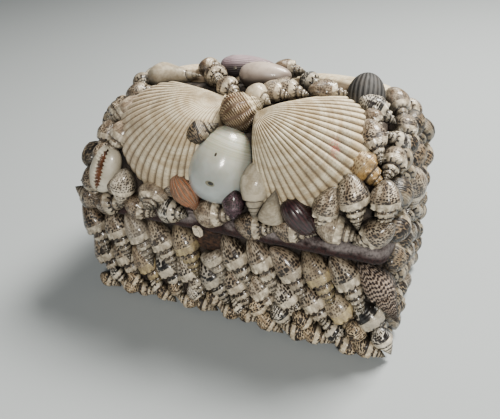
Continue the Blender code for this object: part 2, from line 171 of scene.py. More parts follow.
SUNLIT = (1, 0.955, 0.87)
for name, place, target, size, watts in (("window_light", (0.27, 0.3, 0.68), (0, 0, 0.03), 0.26, 17),
                                         ("front_window", (0.42, -0.74, 0.56), (0, 0, 0.05), 0.16, 7.4)):
    lamp = bpy.data.objects.new(name, bpy.data.lights.new(name, "AREA"))
    lamp.data.shape = "SQUARE"
    lamp.data.size = size
    lamp.data.energy = watts
    lamp.data.color = SUNLIT
    lamp.location = place
    lamp.rotation_euler = (Vector(target) - Vector(place)).to_track_quat("-Z", "Y").to_euler()
    bpy.context.scene.collection.objects.link(lamp)

daylight = bpy.data.worlds.new("daylight")
daylight.use_nodes = True
sky = daylight.node_tree.nodes["Background"].inputs
sky["Color"].default_value = (0.93, 0.97, 1, 1)
sky["Strength"].default_value = 0.11
bpy.context.scene.world = daylight

# ================================================================ box
# A hollow card box covered in dark maroon velvet, worn grey with lint on top, and its lid. The grey on top is partly a
# painted sheen highlight.
# Its upper edge is padded and stays bare above the shells.

def dressed(name, material):
    """Gives a solid that shows as it is its material."""
    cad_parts[name].data.materials.clear()
    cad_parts[name].data.materials.append(material)


skin = Look("maroon_velvet")
pile = skin.noise(skin.where, 900, 4, 0.7)
worn = skin.noise(skin.where, 55, 5, 0.65)
upwards = skin.split(skin.node("NewGeometry").outputs["Normal"])[2]
# grey where the velvet faces up: lint, and a painted sheen highlight
lint_and_sheen = skin.times(skin.ease(worn, 0.42, 0.56), skin.ease(upwards, -0.15, 0.4), skin.ease(pile, 0.3, 0.6, 0.3, 1))
colour = skin.mix(skin.ease(pile, 0.35, 0.7), (0.006, 0.0015, 0.0015, 1), (0.04, 0.009, 0.008, 1))
colour = skin.mix(lint_and_sheen, colour, (0.24, 0.21, 0.205, 1))
velvet = skin.finish(colour, 0.95, pile, 0.5, 0.8, Sheen_Weight=0.06, Sheen_Roughness=0.5)
dressed("box_body", velvet)
dressed("lid_body", velvet)

# ================================================================ glue
# Thick glue spread over the velvet, lumpy between the shells. Its grey-brown is darkened almost to black as painted
# shade for the gaps between the shells.

skin = Look("old_glue_and_gap_shade")
lumps = skin.noise(skin.where, 260, 5, 0.6)
grit = skin.noise(skin.where, 1500, 3, 0.6)
# nearly black: the glue's own colour and painted shade in the gaps
colour = skin.mix(skin.ease(lumps, 0.35, 0.7), (0.008, 0.006, 0.005, 1), (0.06, 0.045, 0.034, 1))
colour = skin.mix(skin.ease(grit, 0.5, 0.62, 0, 0.5), colour, (0.03, 0.02, 0.015, 1))
glue = skin.finish(colour, 0.8, lumps, 1.2)
dressed("box_glue", glue)
dressed("lid_glue", glue)

# ================================================================ front wall
# Two tiers of small spindle whelks, canals up and points down to the right, pressed into the glue.
# Each shell winds down in one spiral: brown dots on its swollen last whorl, white shoulders with
# dark dashes, and a banded spire. The sixth of the upper tier has lost its last whorl.

SEAM = 49.0               # mm above the floor, where the lid begins
BED_X, BED_Y = 59.5, 33.5  # mm from the middle to the glue that the shells sit in
LAYOUT_MIDDLE = 2         # mm right of the box's middle, from where the shells of the lid are laid out


def smooth(low, high, value):
    """Goes from 0 to 1 between low and high."""
    part = np.clip((value - low) / (high - low), 0, 1)
    return part * part * (3 - 2 * part)

def coil(length, width, body=0.48, widest=0.4, ratio=0.68, step=0.17, blunt=0.6, plump=1.3, slim=0.86, ribs=0, rib=0.0,
         cords=0.0, cord=0.0, knobs=0, knob=0.0, hole=0.0, sides=24, fine=9, seed=0.0, bent=0.0):
    """A spiral shell lying along X with its point at +X and the start of its mouth underneath, in mm.
    slim is how much narrower the spire is than the last whorl, step how deep its seams are."""
    spire = 1 - body
    lower = max(6, int(fine * 1.4))
    turns = math.log(0.05 / spire) / math.log(ratio)
    below = body * (np.arange(1, lower + 1) / lower) ** 1.5
    over = 1 - spire * ratio ** (np.arange(1, int(turns * fine) + 1) / fine)
    reach = np.concatenate((below, over))
    around = np.arange(sides + 1) / sides
    t, a = np.meshgrid(reach, around, indexing="ij")
    whorl = np.log((1 - t) / spire) / math.log(ratio) + 1 - a
    start = 1 - spire * ratio ** a
    pattern = np.where(whorl < 1, 1 + (t - start) / ((1 - start) * -math.log(ratio)), whorl)
    within = np.where(whorl < 1, np.clip(whorl, 0, 1), whorl % 1)
    rise = np.where(whorl < 1, 1, smooth(0, 0.45, within))
    drop = smooth(0.84, 1, within)
    low = np.clip(t / widest, 0, 1)
    high = np.clip((t - widest) / (1 - widest), 0, 1)
    radius = np.where(t < widest, (1 - (1 - low) ** 1.5) ** blunt, 1 - high ** plump)
    spire_radius = slim * (1 - step * (1 - rise) - step * drop)
    radius = radius * np.where(whorl < 1, 1 - drop * (1 - slim * (1 - step)), spire_radius)
    angle = math.tau * a
    if ribs:
        weight = smooth(0.05, 0.3, t) * (0.35 + 0.65 * smooth(0, 0.2, within) * (1 - smooth(0.8, 1, within)))
        radius *= 1 + rib * weight * np.cos(ribs * angle + 3 * whorl)
    if cords:
        radius *= 1 + cord * np.cos(math.tau * cords * pattern)
    if knobs:
        crest = np.exp(-((within - 0.72) / 0.16) ** 2) * (whorl > 0.3)
        radius *= 1 + knob * crest * np.cos(knobs * angle)
    radius *= 1 + 0.025 * np.sin(3 * angle + 5 * seed) * np.sin(9 * t + 3 * seed)
    radius *= width / 2
    x = length * (t - 0.5)
    y = -radius * np.cos(angle + math.pi / 2) + bent * length * np.clip(widest - t, 0, 1) ** 2
    z = -radius * np.sin(angle + math.pi / 2)
    tip = (length * (hole - 0.5), bent * length * widest ** 2, 0)
    return lathed(np.stack((x, y, z), -1), tip, (0.5 * length, 0, 0), a, pattern, (-0.2, 0.3))


def lathed(points, start, end, u, v, beyond=(0, 0)):
    """A closed form from rings of points in mm (rings, sides + 1) and a point at each end.
    u and v are the skin's map, and v goes on by beyond at the two ends."""
    rings, sides = points.shape[0], points.shape[1] - 1
    last = (rings - 1) * sides
    faces, corners = [], []

    def at(ring, side, more=0):
        return u[ring, side], v[ring, side] + more

    for side in range(sides):
        after = (side + 1) % sides
        faces += [(rings * sides, after, side), (rings * sides + 1, last + side, last + after)]
        corners += [at(0, side, beyond[0]), at(0, side + 1), at(0, side),
                    at(-1, side, beyond[1]), at(-1, side), at(-1, side + 1)]
        for ring in range(rings - 1):
            low, high = ring * sides, (ring + 1) * sides
            faces.append((low + side, low + after, high + after, high + side))
            corners += [at(ring, side), at(ring, side + 1), at(ring + 1, side + 1), at(ring + 1, side)]
    return skinned(np.concatenate((points[:, :sides].reshape(-1, 3), [start, end])), faces, corners)


def skinned(points, faces, corners=None):
    """An object from points in mm, faces and, for each corner of each face, its place on the skin's map."""
    mesh = bpy.data.meshes.new("form")
    mesh.from_pydata([tuple(point) for point in points * MM], [], faces)
    if corners:
        mesh.uv_layers.new(name="spiral").data.foreach_set("uv", np.array(corners, np.float32).ravel())
    mesh.shade_smooth()
    made = bpy.data.objects.new("form", mesh)
    bpy.context.scene.collection.objects.link(made)
    return made


def frame_of(point, along, out):
    """Matrix whose X runs along, whose Z is the outward normal, at a point in mm."""
    up = out.cross(along).normalized()
    turn = Matrix((up.cross(out).normalized(), up, out.normalized())).transposed().to_4x4()
    return Matrix.Translation(Vector(point) * MM) @ turn


def on_wall(side, along, height, heading, proud=2.0, tip_up=0.0):
    """A shell's place on a wall: mm right of its middle and above the floor, and where its point heads."""
    facing = Matrix.Rotation(math.radians({"front": 0, "right": 90, "back": 180, "left": 270}[side]), 4, "Z")
    bed = BED_X if side in ("left", "right") else BED_Y
    place = facing @ frame_of((along, -bed, height), Vector((1, 0, 0)), Vector((0, -1, 0)))
    return seated(place, heading, proud, tip_up)


def seated(place, heading, proud, tip_up):
    """Turned so that the point heads that many degrees anticlockwise from the right, raised by proud mm."""
    turn = Matrix.Rotation(math.radians(heading), 4, "Z")
    return place @ Matrix.Translation((0, 0, proud * MM)) @ turn @ Matrix.Rotation(math.radians(-tip_up), 4, "Y")


def set_in(form, place, seed, shade=1.0, dots=1.0, brown=0.0, roll=0.0, dirt_and_shade=0.9):
    """The form moved to its place; its skin remembers a seed, how light it is, how dotted and how brown.
    Its sunk side is darkened with painted shade, the shadow that falls between the shells."""
    form.data.transform(Matrix.Rotation(math.radians(roll), 4, "X"))
    count = len(form.data.vertices)
    spots = np.empty(count * 3, np.float32)
    form.data.vertices.foreach_get("co", spots)
    out = spots.reshape(-1, 3)[:, 2]
    # painted shade: the lower a point lies on the shell's sunk side, the darker it is painted
    unshaded = 1 - dirt_and_shade * (1 - smooth(-0.2, 0.68, out / out.max()))
    skin = form.data.attributes.new("shell", "FLOAT_COLOR", "POINT")
    own = np.stack((np.full(count, seed), shade * unshaded, np.full(count, dots), np.full(count, brown)), -1)
    skin.data.foreach_set("color", own.astype(np.float32).ravel())
    form.data.transform(place)
    return form


def joined(name, forms, material, slot, *nodes):
    """One piece made of forms that touch: it takes the place of the nodes and rides with the box."""
    bpy.ops.object.select_all(action="DESELECT")
    for form in forms:
        form.select_set(True)
    bpy.context.view_layer.objects.active = forms[0]
    if len(forms) > 1:
        bpy.ops.object.join()
    piece = bpy.context.view_layer.objects.active
    piece.name = piece.data.name = name
    piece.data.materials.clear()
    piece.data.materials.append(material)
    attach(piece, "root")
    if nodes:
        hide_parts(*nodes)
    return piece


def effect(name, inputs, *outputs):
    """A shader node group, its input sockets and its output sockets. A number or a colour is a default value."""
    group = Nodes(bpy.data.node_groups.new(name, "ShaderNodeTree"))
    for label, value in inputs.items():
        kind = value if isinstance(value, str) else "Color" if isinstance(value, tuple) else "Float"
        socket = group.tree.interface.new_socket(label, in_out="INPUT", socket_type="NodeSocket" + kind)
        if kind != value:
            socket.default_value = value
    for label in outputs:
        kind = "Color" if label == "Color" else "Float"
        group.tree.interface.new_socket(label, in_out="OUTPUT", socket_type="NodeSocket" + kind)
    return group, group.tree.nodes.new("NodeGroupInput").outputs, group.tree.nodes.new("NodeGroupOutput").inputs


# Dots in rows along the spiral: irregular brown flecks, thicker in places
spots, given, put = effect("spiral_spots", {"Spiral": "Vector", "Seed": 0.0, "Around": 27.0, "Rows": 3.4, "Size": 0.3},
                           "Spots")
round_it, along, _ = spots.split(given["Spiral"])
cell = spots.node("CombineXYZ", X=spots.plus(spots.times(round_it, given["Around"]), spots.times(given["Seed"], 37.0)),
                  Y=spots.times(along, given["Rows"])).outputs[0]
nearest = spots.node("TexVoronoi", voronoi_dimensions="2D", Scale=1.0, Randomness=0.62, Vector=cell)
near_shoulder = spots.ease(along, -0.9, -0.1, 0.9, 1.15)
patchy = spots.ease(spots.noise(cell, 0.21, 2), 0.3, 0.7, 0.6, 1.35)
gap = spots.math("SUBTRACT", spots.times(given["Size"], near_shoulder, patchy), nearest.outputs["Distance"])
spots.feed(put["Spots"], spots.ease(gap, -0.06, 0.08))

# The shoulder below each seam of the spiral: a white band, dark dashes across it, and the seam itself, dark with dirt
# and painted shade in its groove
shoulder, given, put = effect("whorl_shoulder", {"Spiral": "Vector", "Seed": 0.0, "From": 0.55, "Dashes": 16.0},
                              "Band", "Dash", "Seam")
round_it, along, _ = shoulder.split(given["Spiral"])
within = shoulder.math("FRACT", along)
past = shoulder.math("SUBTRACT", within, given["From"])
past = shoulder.math("SUBTRACT", past, shoulder.times(shoulder.ease(along, 0.97, 1.0), 0.28))
shoulder.feed(put["Band"], shoulder.times(shoulder.ease(past, -0.04, 0.06), shoulder.ease(along, 0.02, 0.12)))
dashes = shoulder.times(round_it, given["Dashes"])
stripe = shoulder.node("CombineXYZ", X=dashes, Y=shoulder.times(along, 2.2), Z=shoulder.times(given["Seed"], 23.0))
ragged = shoulder.times(shoulder.noise(stripe.outputs[0], 1.3, 2), 2.4)
dash = shoulder.ease(shoulder.plus(shoulder.math("COSINE", shoulder.times(dashes, math.tau)), ragged), 1.2, 0.6)
shoulder.feed(put["Dash"], shoulder.times(dash, shoulder.ease(within, 0.68, 0.78), shoulder.ease(along, 0.4, 0.6)))
# the seam: dirt and painted shade in the groove between whorls
seam = shoulder.math("MAXIMUM", shoulder.ease(within, 0.13, 0.04), shoulder.ease(within, 0.9, 0.96))
shoulder.feed(put["Seam"], shoulder.times(seam, shoulder.ease(along, 0.5, 0.7)))

# Grime that lies in patches over a colour
grime, given, put = effect("grime", {"Color": "Color", "Grime": (0.09, 0.065, 0.045, 1), "Amount": 0.5,
                                     "Scale": 220.0}, "Color")
cloud = grime.noise(grime.node("TexCoord").outputs["Object"], given["Scale"], 4.0, 0.65)
share = grime.times(grime.ease(cloud, 0.45, 0.75), given["Amount"])
grime.feed(put["Color"], grime.mix(share, given["Color"], given["Grime"]))


class Skin(Look):
    """A shell's material, with the skin's map and how far round and along it a point lies."""

    def __init__(self, name):
        super().__init__(name)
        self.map = self.node("UVMap", uv_map="spiral").outputs["UV"]
        self.round, self.along, _ = self.split(self.map)

    def kept(self):
        """What set_in keeps on each point: the seed, how light (with painted shade on the sunk side), how dotted and
        how brown.
        """
        own = self.node("Attribute", attribute_name="shell").outputs
        return (*self.node("SeparateColor", Color=own["Color"]).outputs, own["Alpha"])

    def shaded(self, colour):
        """The colour darkened by the shell's own lightness and the painted shade of its sunk side."""
        shade = self.kept()[1]
        grey = self.node("CombineColor", Red=shade, Green=shade, Blue=shade).outputs[0]
        return self.mix(1.0, colour, grey, "MULTIPLY")

    def grimy(self, colour, amount, scale=220.0):
        return self.use(grime, Color=colour, Amount=amount, Scale=scale)["Color"]


SPOT_BROWN = (0.014, 0.008, 0.005, 1)


def shell_look(name, ground, light, dot=SPOT_BROWN, band=(0.9, 0.79, 0.6, 1), around=29.0, rows=3.7, size=0.39,
               dashes=13.0, band_from=0.02, banding=0.92, roughness=0.36, cords=6.0, dirt_and_shade=0.5, coat=0.5):
    """A spiral shell's skin: ground colour, lighter streaks, dots, white shoulders with dashes, dark seams of dirt and
    painted shade.
    """
    skin = Skin(name)
    seed, _, dots, brown = skin.kept()
    dotted = skin.use(spots, Spiral=skin.map, Seed=seed, Around=around, Rows=rows, Size=size)["Spots"]
    marks = skin.use(shoulder, Spiral=skin.map, Seed=seed, From=band_from, Dashes=dashes)
    streak = skin.noise(skin.stretch(skin.map, 15, 0.9, 1), 1.0, 3)
    colour = skin.mix(skin.ease(streak, 0.36, 0.66), ground, light)
    colour = skin.mix(brown, colour, (0.16, 0.08, 0.032, 1))
    tint = skin.mix(skin.ease(streak, 0.36, 0.6, 0, 0.7), band, ground)
    colour = skin.mix(skin.times(marks["Band"], banding), colour, tint)
    clear = skin.math("SUBTRACT", 1.0, skin.times(marks["Band"], 0.85))
    colour = skin.mix(skin.times(dotted, dots, clear), colour, dot)
    colour = skin.mix(skin.times(marks["Dash"], dots), colour, dot)
    # the dark seam line: dirt and painted shade in the groove
    colour = skin.mix(skin.times(marks["Seam"], 0.92), colour, (0.03, 0.02, 0.014, 1))
    rub = skin.noise(skin.where, 420, 2)
    dull = skin.ease(rub, 0.3, 0.7, roughness - 0.08, roughness + 0.16)
    dull = skin.math("SUBTRACT", dull, skin.times(marks["Band"], 0.12))
    height = skin.plus(skin.math("SINE", skin.times(skin.along, math.tau * cords)), skin.times(rub, 1.5))
    return skin.finish(skin.shaded(skin.grimy(colour, dirt_and_shade)), dull, height, 0.06, 0.8, Coat_Weight=coat,
                       Coat_Roughness=0.13)


dotted_look = shell_look("dotted_shell", (0.19, 0.14, 0.092, 1), (0.5, 0.42, 0.31, 1))
speckled_look = shell_look("speckled_shell", (0.3, 0.215, 0.125, 1), (0.62, 0.5, 0.33, 1),
                           band=(0.84, 0.74, 0.55, 1), around=17.0, rows=3.6, size=0.5, dashes=9.0, banding=0.9,
                           roughness=0.5, cords=4.0, dirt_and_shade=0.6, coat=0.15)
pale_look = shell_look("pale_banded_shell", (0.3, 0.25, 0.185, 1), (0.62, 0.55, 0.44, 1), size=0.34, band_from=0.16)
zebra_look = shell_look("zebra_shell", (0.44, 0.39, 0.31, 1), (0.74, 0.69, 0.59, 1), (0.008, 0.006, 0.006, 1),
                        around=19.0, rows=3.4, size=0.5, dashes=10.0, cords=5.0)
golden_look = shell_look("golden_banded_shell", (0.2, 0.15, 0.095, 1), (0.5, 0.41, 0.28, 1),
                         band=(0.62, 0.49, 0.25, 1), size=0.3)

# Ribbed whelk: pale ribs and dark purple-brown grooves that run in zigzags
skin = Skin("ribbed_chevron_shell")
zigzag = skin.math("PINGPONG", skin.times(skin.round, 9.0), 0.6)
wander = skin.times(skin.noise(skin.where, 300, 2), 0.9)
wave = skin.math("SINE", skin.times(skin.plus(skin.times(skin.along, 2.7), skin.plus(zigzag, wander)), math.tau))
cross = skin.math("SINE", skin.times(skin.round, math.tau * 30))
groove = skin.ease(skin.plus(wave, skin.times(cross, 0.8)), -0.35, 0.35)
colour = skin.mix(groove, (0.022, 0.01, 0.008, 1), (0.46, 0.35, 0.27, 1))
chevron_look = skin.finish(skin.shaded(skin.grimy(colour, 0.4)), skin.ease(wander, 0.2, 0.7, 0.35, 0.6),
                           skin.plus(wave, skin.times(cross, 0.6)), 0.22)

BROKEN, LEFT_OF_BROKEN = 5, 0.62  # the sixth whelk from the left, and the share that is left of its length
WHELK_WIDE = 11.5
TOPS_HIGHER, TOPS_DROP = 2.2, 0.5  # mm that the first of the upper tier sits higher, and each next one less
MORE_LEAN = 1.4           # degrees that each whelk leans over more than the one on its left
UPPER_TIER = {"long": 27, "first_top": (-64, 43.5), "pitch": 10.8, "first_lean": -79, "proud": 2.6, "tip_up": 6}
LOWER_TIER = {"long": 25.5, "first_tip": (-58, 2.8), "pitch": 11.2, "first_lean": -74, "proud": 0.6, "tip_up": 4}


def tier_place(tier, column, size, wobble):
    """The place of a whelk in a tier of the front wall; a broken one keeps its point where it was."""
    heading = tier["first_lean"] + MORE_LEAN * column
    lean = math.radians(heading)
    if "first_top" in tier:
        along, height = tier["first_top"]
        height += max(0, TOPS_HIGHER - TOPS_DROP * column)
        reach = tier["long"] - size / 2
    else:
        along, height = tier["first_tip"]
        reach = -size / 2
    along += tier["pitch"] * column
    return on_wall("front", along + reach * math.cos(lean), height + reach * math.sin(lean), heading + wobble,
                   tier["proud"], tier["tip_up"])


# for each whelk of a tier, from the left: its skin, how light, how dotted and how brown it is
UPPER_SKINS = ((dotted_look, 0.7, 1, 0.3), (dotted_look, 0.9, 1, 0), (pale_look, 0.85, 0.6, 0.1),
               (dotted_look, 1.05, 0.9, 0), (golden_look, 1.0, 1, 0.1), (pale_look, 1.0, 0.6, 0),
               (dotted_look, 1.0, 1, 0), (dotted_look, 1.15, 0.9, 0), (dotted_look, 1.0, 1, 0.25),
               (golden_look, 1.0, 1, 0.15), (dotted_look, 1.05, 1, 0), (chevron_look, 0.95, 1, 0))
LOWER_SKINS = ((dotted_look, 0.8, 1, 0.2), (dotted_look, 1.05, 1, 0), (golden_look, 1.1, 0.8, 0.2),
               (zebra_look, 1, 1, 0), (pale_look, 1.2, 1, 0), (zebra_look, 0.8, 1, 0.2),
               (dotted_look, 1.1, 1, 0.1), (dotted_look, 1.3, 0.8, 0), (pale_look, 1.3, 1, 0),
               (dotted_look, 1.2, 1, 0), (golden_look, 1.35, 0.8, 0), (zebra_look, 0.85, 1, 0.1))

for label, tier, skins in (("upper", UPPER_TIER, UPPER_SKINS), ("lower", LOWER_TIER, LOWER_SKINS)):
    for column, (skin, shade, dots, brown) in enumerate(skins):
        seed = (column * 0.37 + (0.19 if label == "lower" else 0)) % 1
        size = tier["long"]
        if label == "upper" and column == BROKEN:
            size *= LEFT_OF_BROKEN
            form = coil(size, WHELK_WIDE * 0.95, body=0.24, widest=0.13, blunt=0.22, hole=0.16, slim=0.96, step=0.2,
                        seed=seed, sides=44, fine=12)
        else:
            body = (0.44 if label == "upper" else 0.4) + 0.04 * math.sin(7 * seed)
            form = coil(size, WHELK_WIDE, body=body, widest=body - 0.08, ratio=0.68 + 0.03 * math.sin(19 * seed),
                        plump=1.5, slim=0.9, step=0.22, blunt=0.62, knobs=11, knob=0.1, seed=seed, bent=-0.9,
                        sides=44, fine=14)
        place = tier_place(tier, column, size, 3 * math.sin(9 * seed))
        piece = set_in(form, place, seed, shade, dots, brown, roll=40 * math.sin(5 * seed))
        joined("%s_tier_whelk_%02d" % (label, column + 1), [piece], skin, "spotted_shell",
               "front_%s_whelk_%02d" % (label, column + 1))

# Where the sixth whelk lost its last whorl the brown card shows, and a chip of white shell is left in the glue
skin = Look("torn_brown_card")
fibres = skin.noise(skin.where, 500, 4, 0.7)
colour = skin.mix(skin.ease(fibres, 0.4, 0.65), (0.012, 0.006, 0.004, 1), (0.075, 0.035, 0.018, 1))
card_look = skin.finish(colour, 0.85, fibres, 0.6)


def slab(points, thick, place):
    """A flat piece with a ragged outline, given by (x, y) points in mm, and that thick."""
    shape = bmesh.new()
    face = shape.faces.new([shape.verts.new((x * MM, y * MM, 0)) for x, y in points])
    raised = bmesh.ops.extrude_face_region(shape, geom=[face])["geom"]
    raised = [one for one in raised if isinstance(one, bmesh.types.BMVert)]
    bmesh.ops.translate(shape, vec=(0, 0, thick * MM), verts=raised)
    bmesh.ops.recalc_face_normals(shape, faces=shape.faces)
    shape.transform(place)
    mesh = bpy.data.meshes.new("slab")
    shape.to_mesh(mesh)
    shape.free()
    made = bpy.data.objects.new("slab", mesh)
    bpy.context.scene.collection.objects.link(made)
    return made


form = slab(((-6, -5), (-2, -6.5), (4, -6), (6.5, -2), (5.5, 2.5), (2, 2), (-1, 3.5), (-4.5, 2.5), (-6.5, 0)), 2,
            on_wall("front", -7.5, 40, 0, 0.3))
joined("torn_card", [form], card_look, "glue")
form = slab(((-2.2, -1.8), (1.6, -2), (2.3, 0.6), (0.8, 2.1), (-1.8, 1.9)), 1.6,
            on_wall("front", -10.2, 43.4, 8, 3.6, 20))
form.data.uv_layers.new(name="spiral")
joined("white_chip", [set_in(form, Matrix.Identity(4), 0.4, 1.5, 0)], pale_look, "cream_shell")

# ================================================================ foot of the front wall
# A row of the smallest whelks, pushed in under the points of the lower tier.

def small_whelk(length, width, seed, **form):
    """A whelk of the plain sort, with as few faces as its size needs."""
    return coil(length, width, body=0.5 + 0.06 * math.sin(11 * seed), widest=0.38, ratio=0.66, step=0.2,
                plump=1.5, sides=18, fine=8, seed=seed, **form)


FOOT_SHELLS, FOOT_PITCH = 26, 5
LARGER_FROM, LARGER = 15, 1.22    # the shells towards the right are larger by this
forms, dark_forms = [], []
for index in range(FOOT_SHELLS):
    seed = (0.11 + 0.29 * index) % 1
    if index % 2:
        height, heading, proud = 7.2, (-58, -42, 132, -66)[index // 2 % 4], 2.6
    else:
        height, heading, proud = 4.2, (-26, 156, -14, -30, 170)[index // 2 % 5], 3.8
    larger = LARGER if index >= LARGER_FROM else 1
    place = on_wall("front", -62 + FOOT_PITCH * index, larger * height, heading + 7 * math.sin(7 * index),
                    larger ** 2 * proud)
    form = small_whelk(11.5 * larger, 7 * larger, seed, knobs=0 if index % 3 else 8, knob=0.12)
    group = dark_forms if index % 4 == 1 else forms
    group.append(set_in(form, place, seed, 1.2 + 0.4 * seed, 1, 0.2 * seed * seed, roll=60 * math.sin(5 * seed)))
joined("foot_row_whelks", forms, speckled_look, "spotted_shell", "front_edge_shells")
joined("foot_row_striped_whelks", dark_forms, zebra_look, "striped_shell")

# ================================================================ side and back walls
# Five rows of small whelks laid lengthwise along each of the other walls, plainer than the front.

def wall_row(side, start, stop, height, count, width, proud, salt):
    """That many whelks laid lengthwise along a wall from start to stop, each turned a little its own way."""
    made = []
    pitch = (stop - start) / count
    lightest_with_painted_shade = 0.65 if side == "right" else 1     # the right end is darker: painted shade, because the lamps light that end more
    for index in range(count):
        seed = (0.07 + 0.31 * index + 0.17 * salt) % 1
        heading = (0 if (index + salt) % 3 else 180) + 26 * math.sin(17 * seed)
        place = on_wall(side, start + pitch * (index + 0.5), height, heading, proud)
        knobs = 9 if (index + salt) % 3 == 1 else 0
        form = small_whelk(pitch * 1.14, width * 0.97, seed, knobs=knobs, knob=0.1)
        made.append(set_in(form, place, seed, lightest_with_painted_shade - 0.25 + 0.25 * seed, 1, 0.1 + 0.35 * seed * seed,
                           roll=50 * math.sin(23 * seed), dirt_and_shade=0.7))
    return made


WALL_ROWS, FIRST_ROW_UP, WALL_ROW_PITCH = 5, 5.9, 8.5
for side, start, stop, count in (("right", -32, 39, 5), ("left", -39, 32, 5), ("back", -59, 59, 7)):
    forms = []
    for row in range(WALL_ROWS):
        forms += wall_row(side, start, stop, FIRST_ROW_UP + WALL_ROW_PITCH * row, count, 11, 2, row)
    joined(side + "_wall_rows", [form for index, form in enumerate(forms) if index % 5 != 2], speckled_look,
           "spotted_shell", side + "_wall_whelks")
    joined(side + "_wall_pale_whelks", forms[2::5], pale_look, "spotted_shell")

# ================================================================ ends and back of the lid
# Round the lid's straight rim lie two rows of whelks, lengthwise like those of the walls. Smaller
# ones fill the ends above them and the strip between the two scallops at the back.

ARCH_POWER, ARCH_ROUND = 2.2, 0.7
ARCH_FROM, ARCH_RISE = 10.5, 29.5  # mm above the seam where the arch begins, and how much it rises
ENDS_LOWER = 0.19                  # share by which the arch is lower at its two ends


def arch_height(x, y):
    """Height in mm of the lid's glue at (x, y)."""
    u = min(abs(x) / BED_X, 1)
    v = min(abs(y) / BED_Y, 1)
    along = (1 - ENDS_LOWER * u * u) * (1 - u ** 10) ** 0.6
    return SEAM + ARCH_FROM + ARCH_RISE * (1 - v ** ARCH_POWER) ** ARCH_ROUND * along


def on_arch(across, swing, heading, proud=2.0, tip_up=0.0):
    """A shell's place on the lid: mm right of the layout's middle, degrees up from the front rim, heading."""
    across += LAYOUT_MIDDLE
    reach = math.cos(math.radians(swing))
    y = -math.copysign(abs(reach) ** (2 / ARCH_POWER), reach) * BED_Y
    rise_x = arch_height(across + 0.5, y) - arch_height(across - 0.5, y)
    rise_y = arch_height(across, y + 0.5) - arch_height(across, y - 0.5)
    out = Vector((-rise_x, -rise_y, 1)).normalized()
    place = frame_of((across, y, arch_height(across, y)), Vector((1, 0, 0)), out)
    return seated(place, heading, proud, tip_up)


lowest = SEAM + 5.2
for side in ("right", "left"):
    forms = wall_row(side, -34, 39, lowest, 4, 12, 2, 5) + wall_row(side, -34, 34, lowest + 9.5, 4, 13, 0.8, 6)
    top = wall_row(side, -23, 23, lowest + 19, 3, 11.5, -1, 9)
    if side == "left":
        for swing, heading in ((66, 262), (81, 84), (96, 275), (110, 92), (124, 268)):
            place = on_arch(-54.5 - LAYOUT_MIDDLE, swing, heading, 2.6)
            top.append(set_in(small_whelk(13, 9.5, swing / 124), place, swing / 124, 0.9, 1, 0.1, swing, dirt_and_shade=0.7))
    else:
        for along, height, heading in ((-12.5, 66, 195), (-11.5, 58.8, 22)):
            place = on_wall(side, along, height, heading, 1.2)
            top.append(set_in(small_whelk(13, 9, height / 70), place, height / 70, 0.7, 1, 0.1, height, dirt_and_shade=0.7))
    joined("lid_%s_small_whelks" % side, top, speckled_look, "spotted_shell")
    joined("lid_%s_rows" % side, [form for index, form in enumerate(forms) if index % 4 != 1], speckled_look,
           "spotted_shell", "lid_%s_end_shells" % side)
    if side == "left":
        joined("lid_left_dotted_whelks", forms[1::4], dotted_look, "spotted_shell")
        continue
    for form in forms[1::4]:
        bpy.data.objects.remove(form)

# In their place at the right end one stands upright, its worn canal open at the top
form = coil(21, 11, body=0.5, widest=0.32, blunt=0.42, hole=0.06, plump=2, step=0.12, sides=48, fine=14, seed=0.6)
joined("upright_dotted_whelk", [set_in(form, on_wall("right", -3, 54.5, 283, 3.8, 4), 0.6, 1, 1, 0, dirt_and_shade=0.3)],
       dotted_look, "spotted_shell")

forms = wall_row("back", -64, 64, lowest, 6, 12, 2, 7) + wall_row("back", -57, 57, lowest + 9, 5, 12.5, -0.5, 8)
for index, (across, swing, heading) in enumerate(((-1.5, 110, 262), (1, 121, 85), (-0.5, 131, 268), (1.5, 141, 80))):
    form = small_whelk(14, 9.5, 0.2 * index, knobs=9 * (index % 2), knob=0.1)
    forms.append(set_in(form, on_arch(across, swing, heading, 2.5), 0.2 * index, 0.9, 1, 0.1, 40 * index))
joined("lid_back_rows", forms, speckled_look, "spotted_shell", "lid_back_shells")

# ================================================================ padded velvet edges
# A padded roll of the same velvet runs round the box's upper edge, and a thinner one round the
# lid's lower edge just above it.

ROLL_CORNER = 4


def rounded_path(half_x, half_y, corner, per_corner=8, per_side=24):
    """Points (x, y, outward x, outward y) round a rectangle with rounded corners."""
    path = []
    for quarter, (side_x, side_y) in enumerate(((1, 1), (-1, 1), (-1, -1), (1, -1))):
        centre = Vector((side_x * (half_x - corner), side_y * (half_y - corner)))
        for step in range(per_corner + 1):
            angle = math.pi / 2 * (quarter + step / per_corner)
            out = Vector((math.cos(angle), math.sin(angle)))
            path.append((*(centre + corner * out), *out))
        after = Vector((centre.x if quarter % 2 else -centre.x, -centre.y if quarter % 2 else centre.y))
        first = Vector(path[-1][:2])
        for step in range(1, per_side):
            path.append((*(first + (after - centre) * step / per_side), *out))
    return np.array(path)


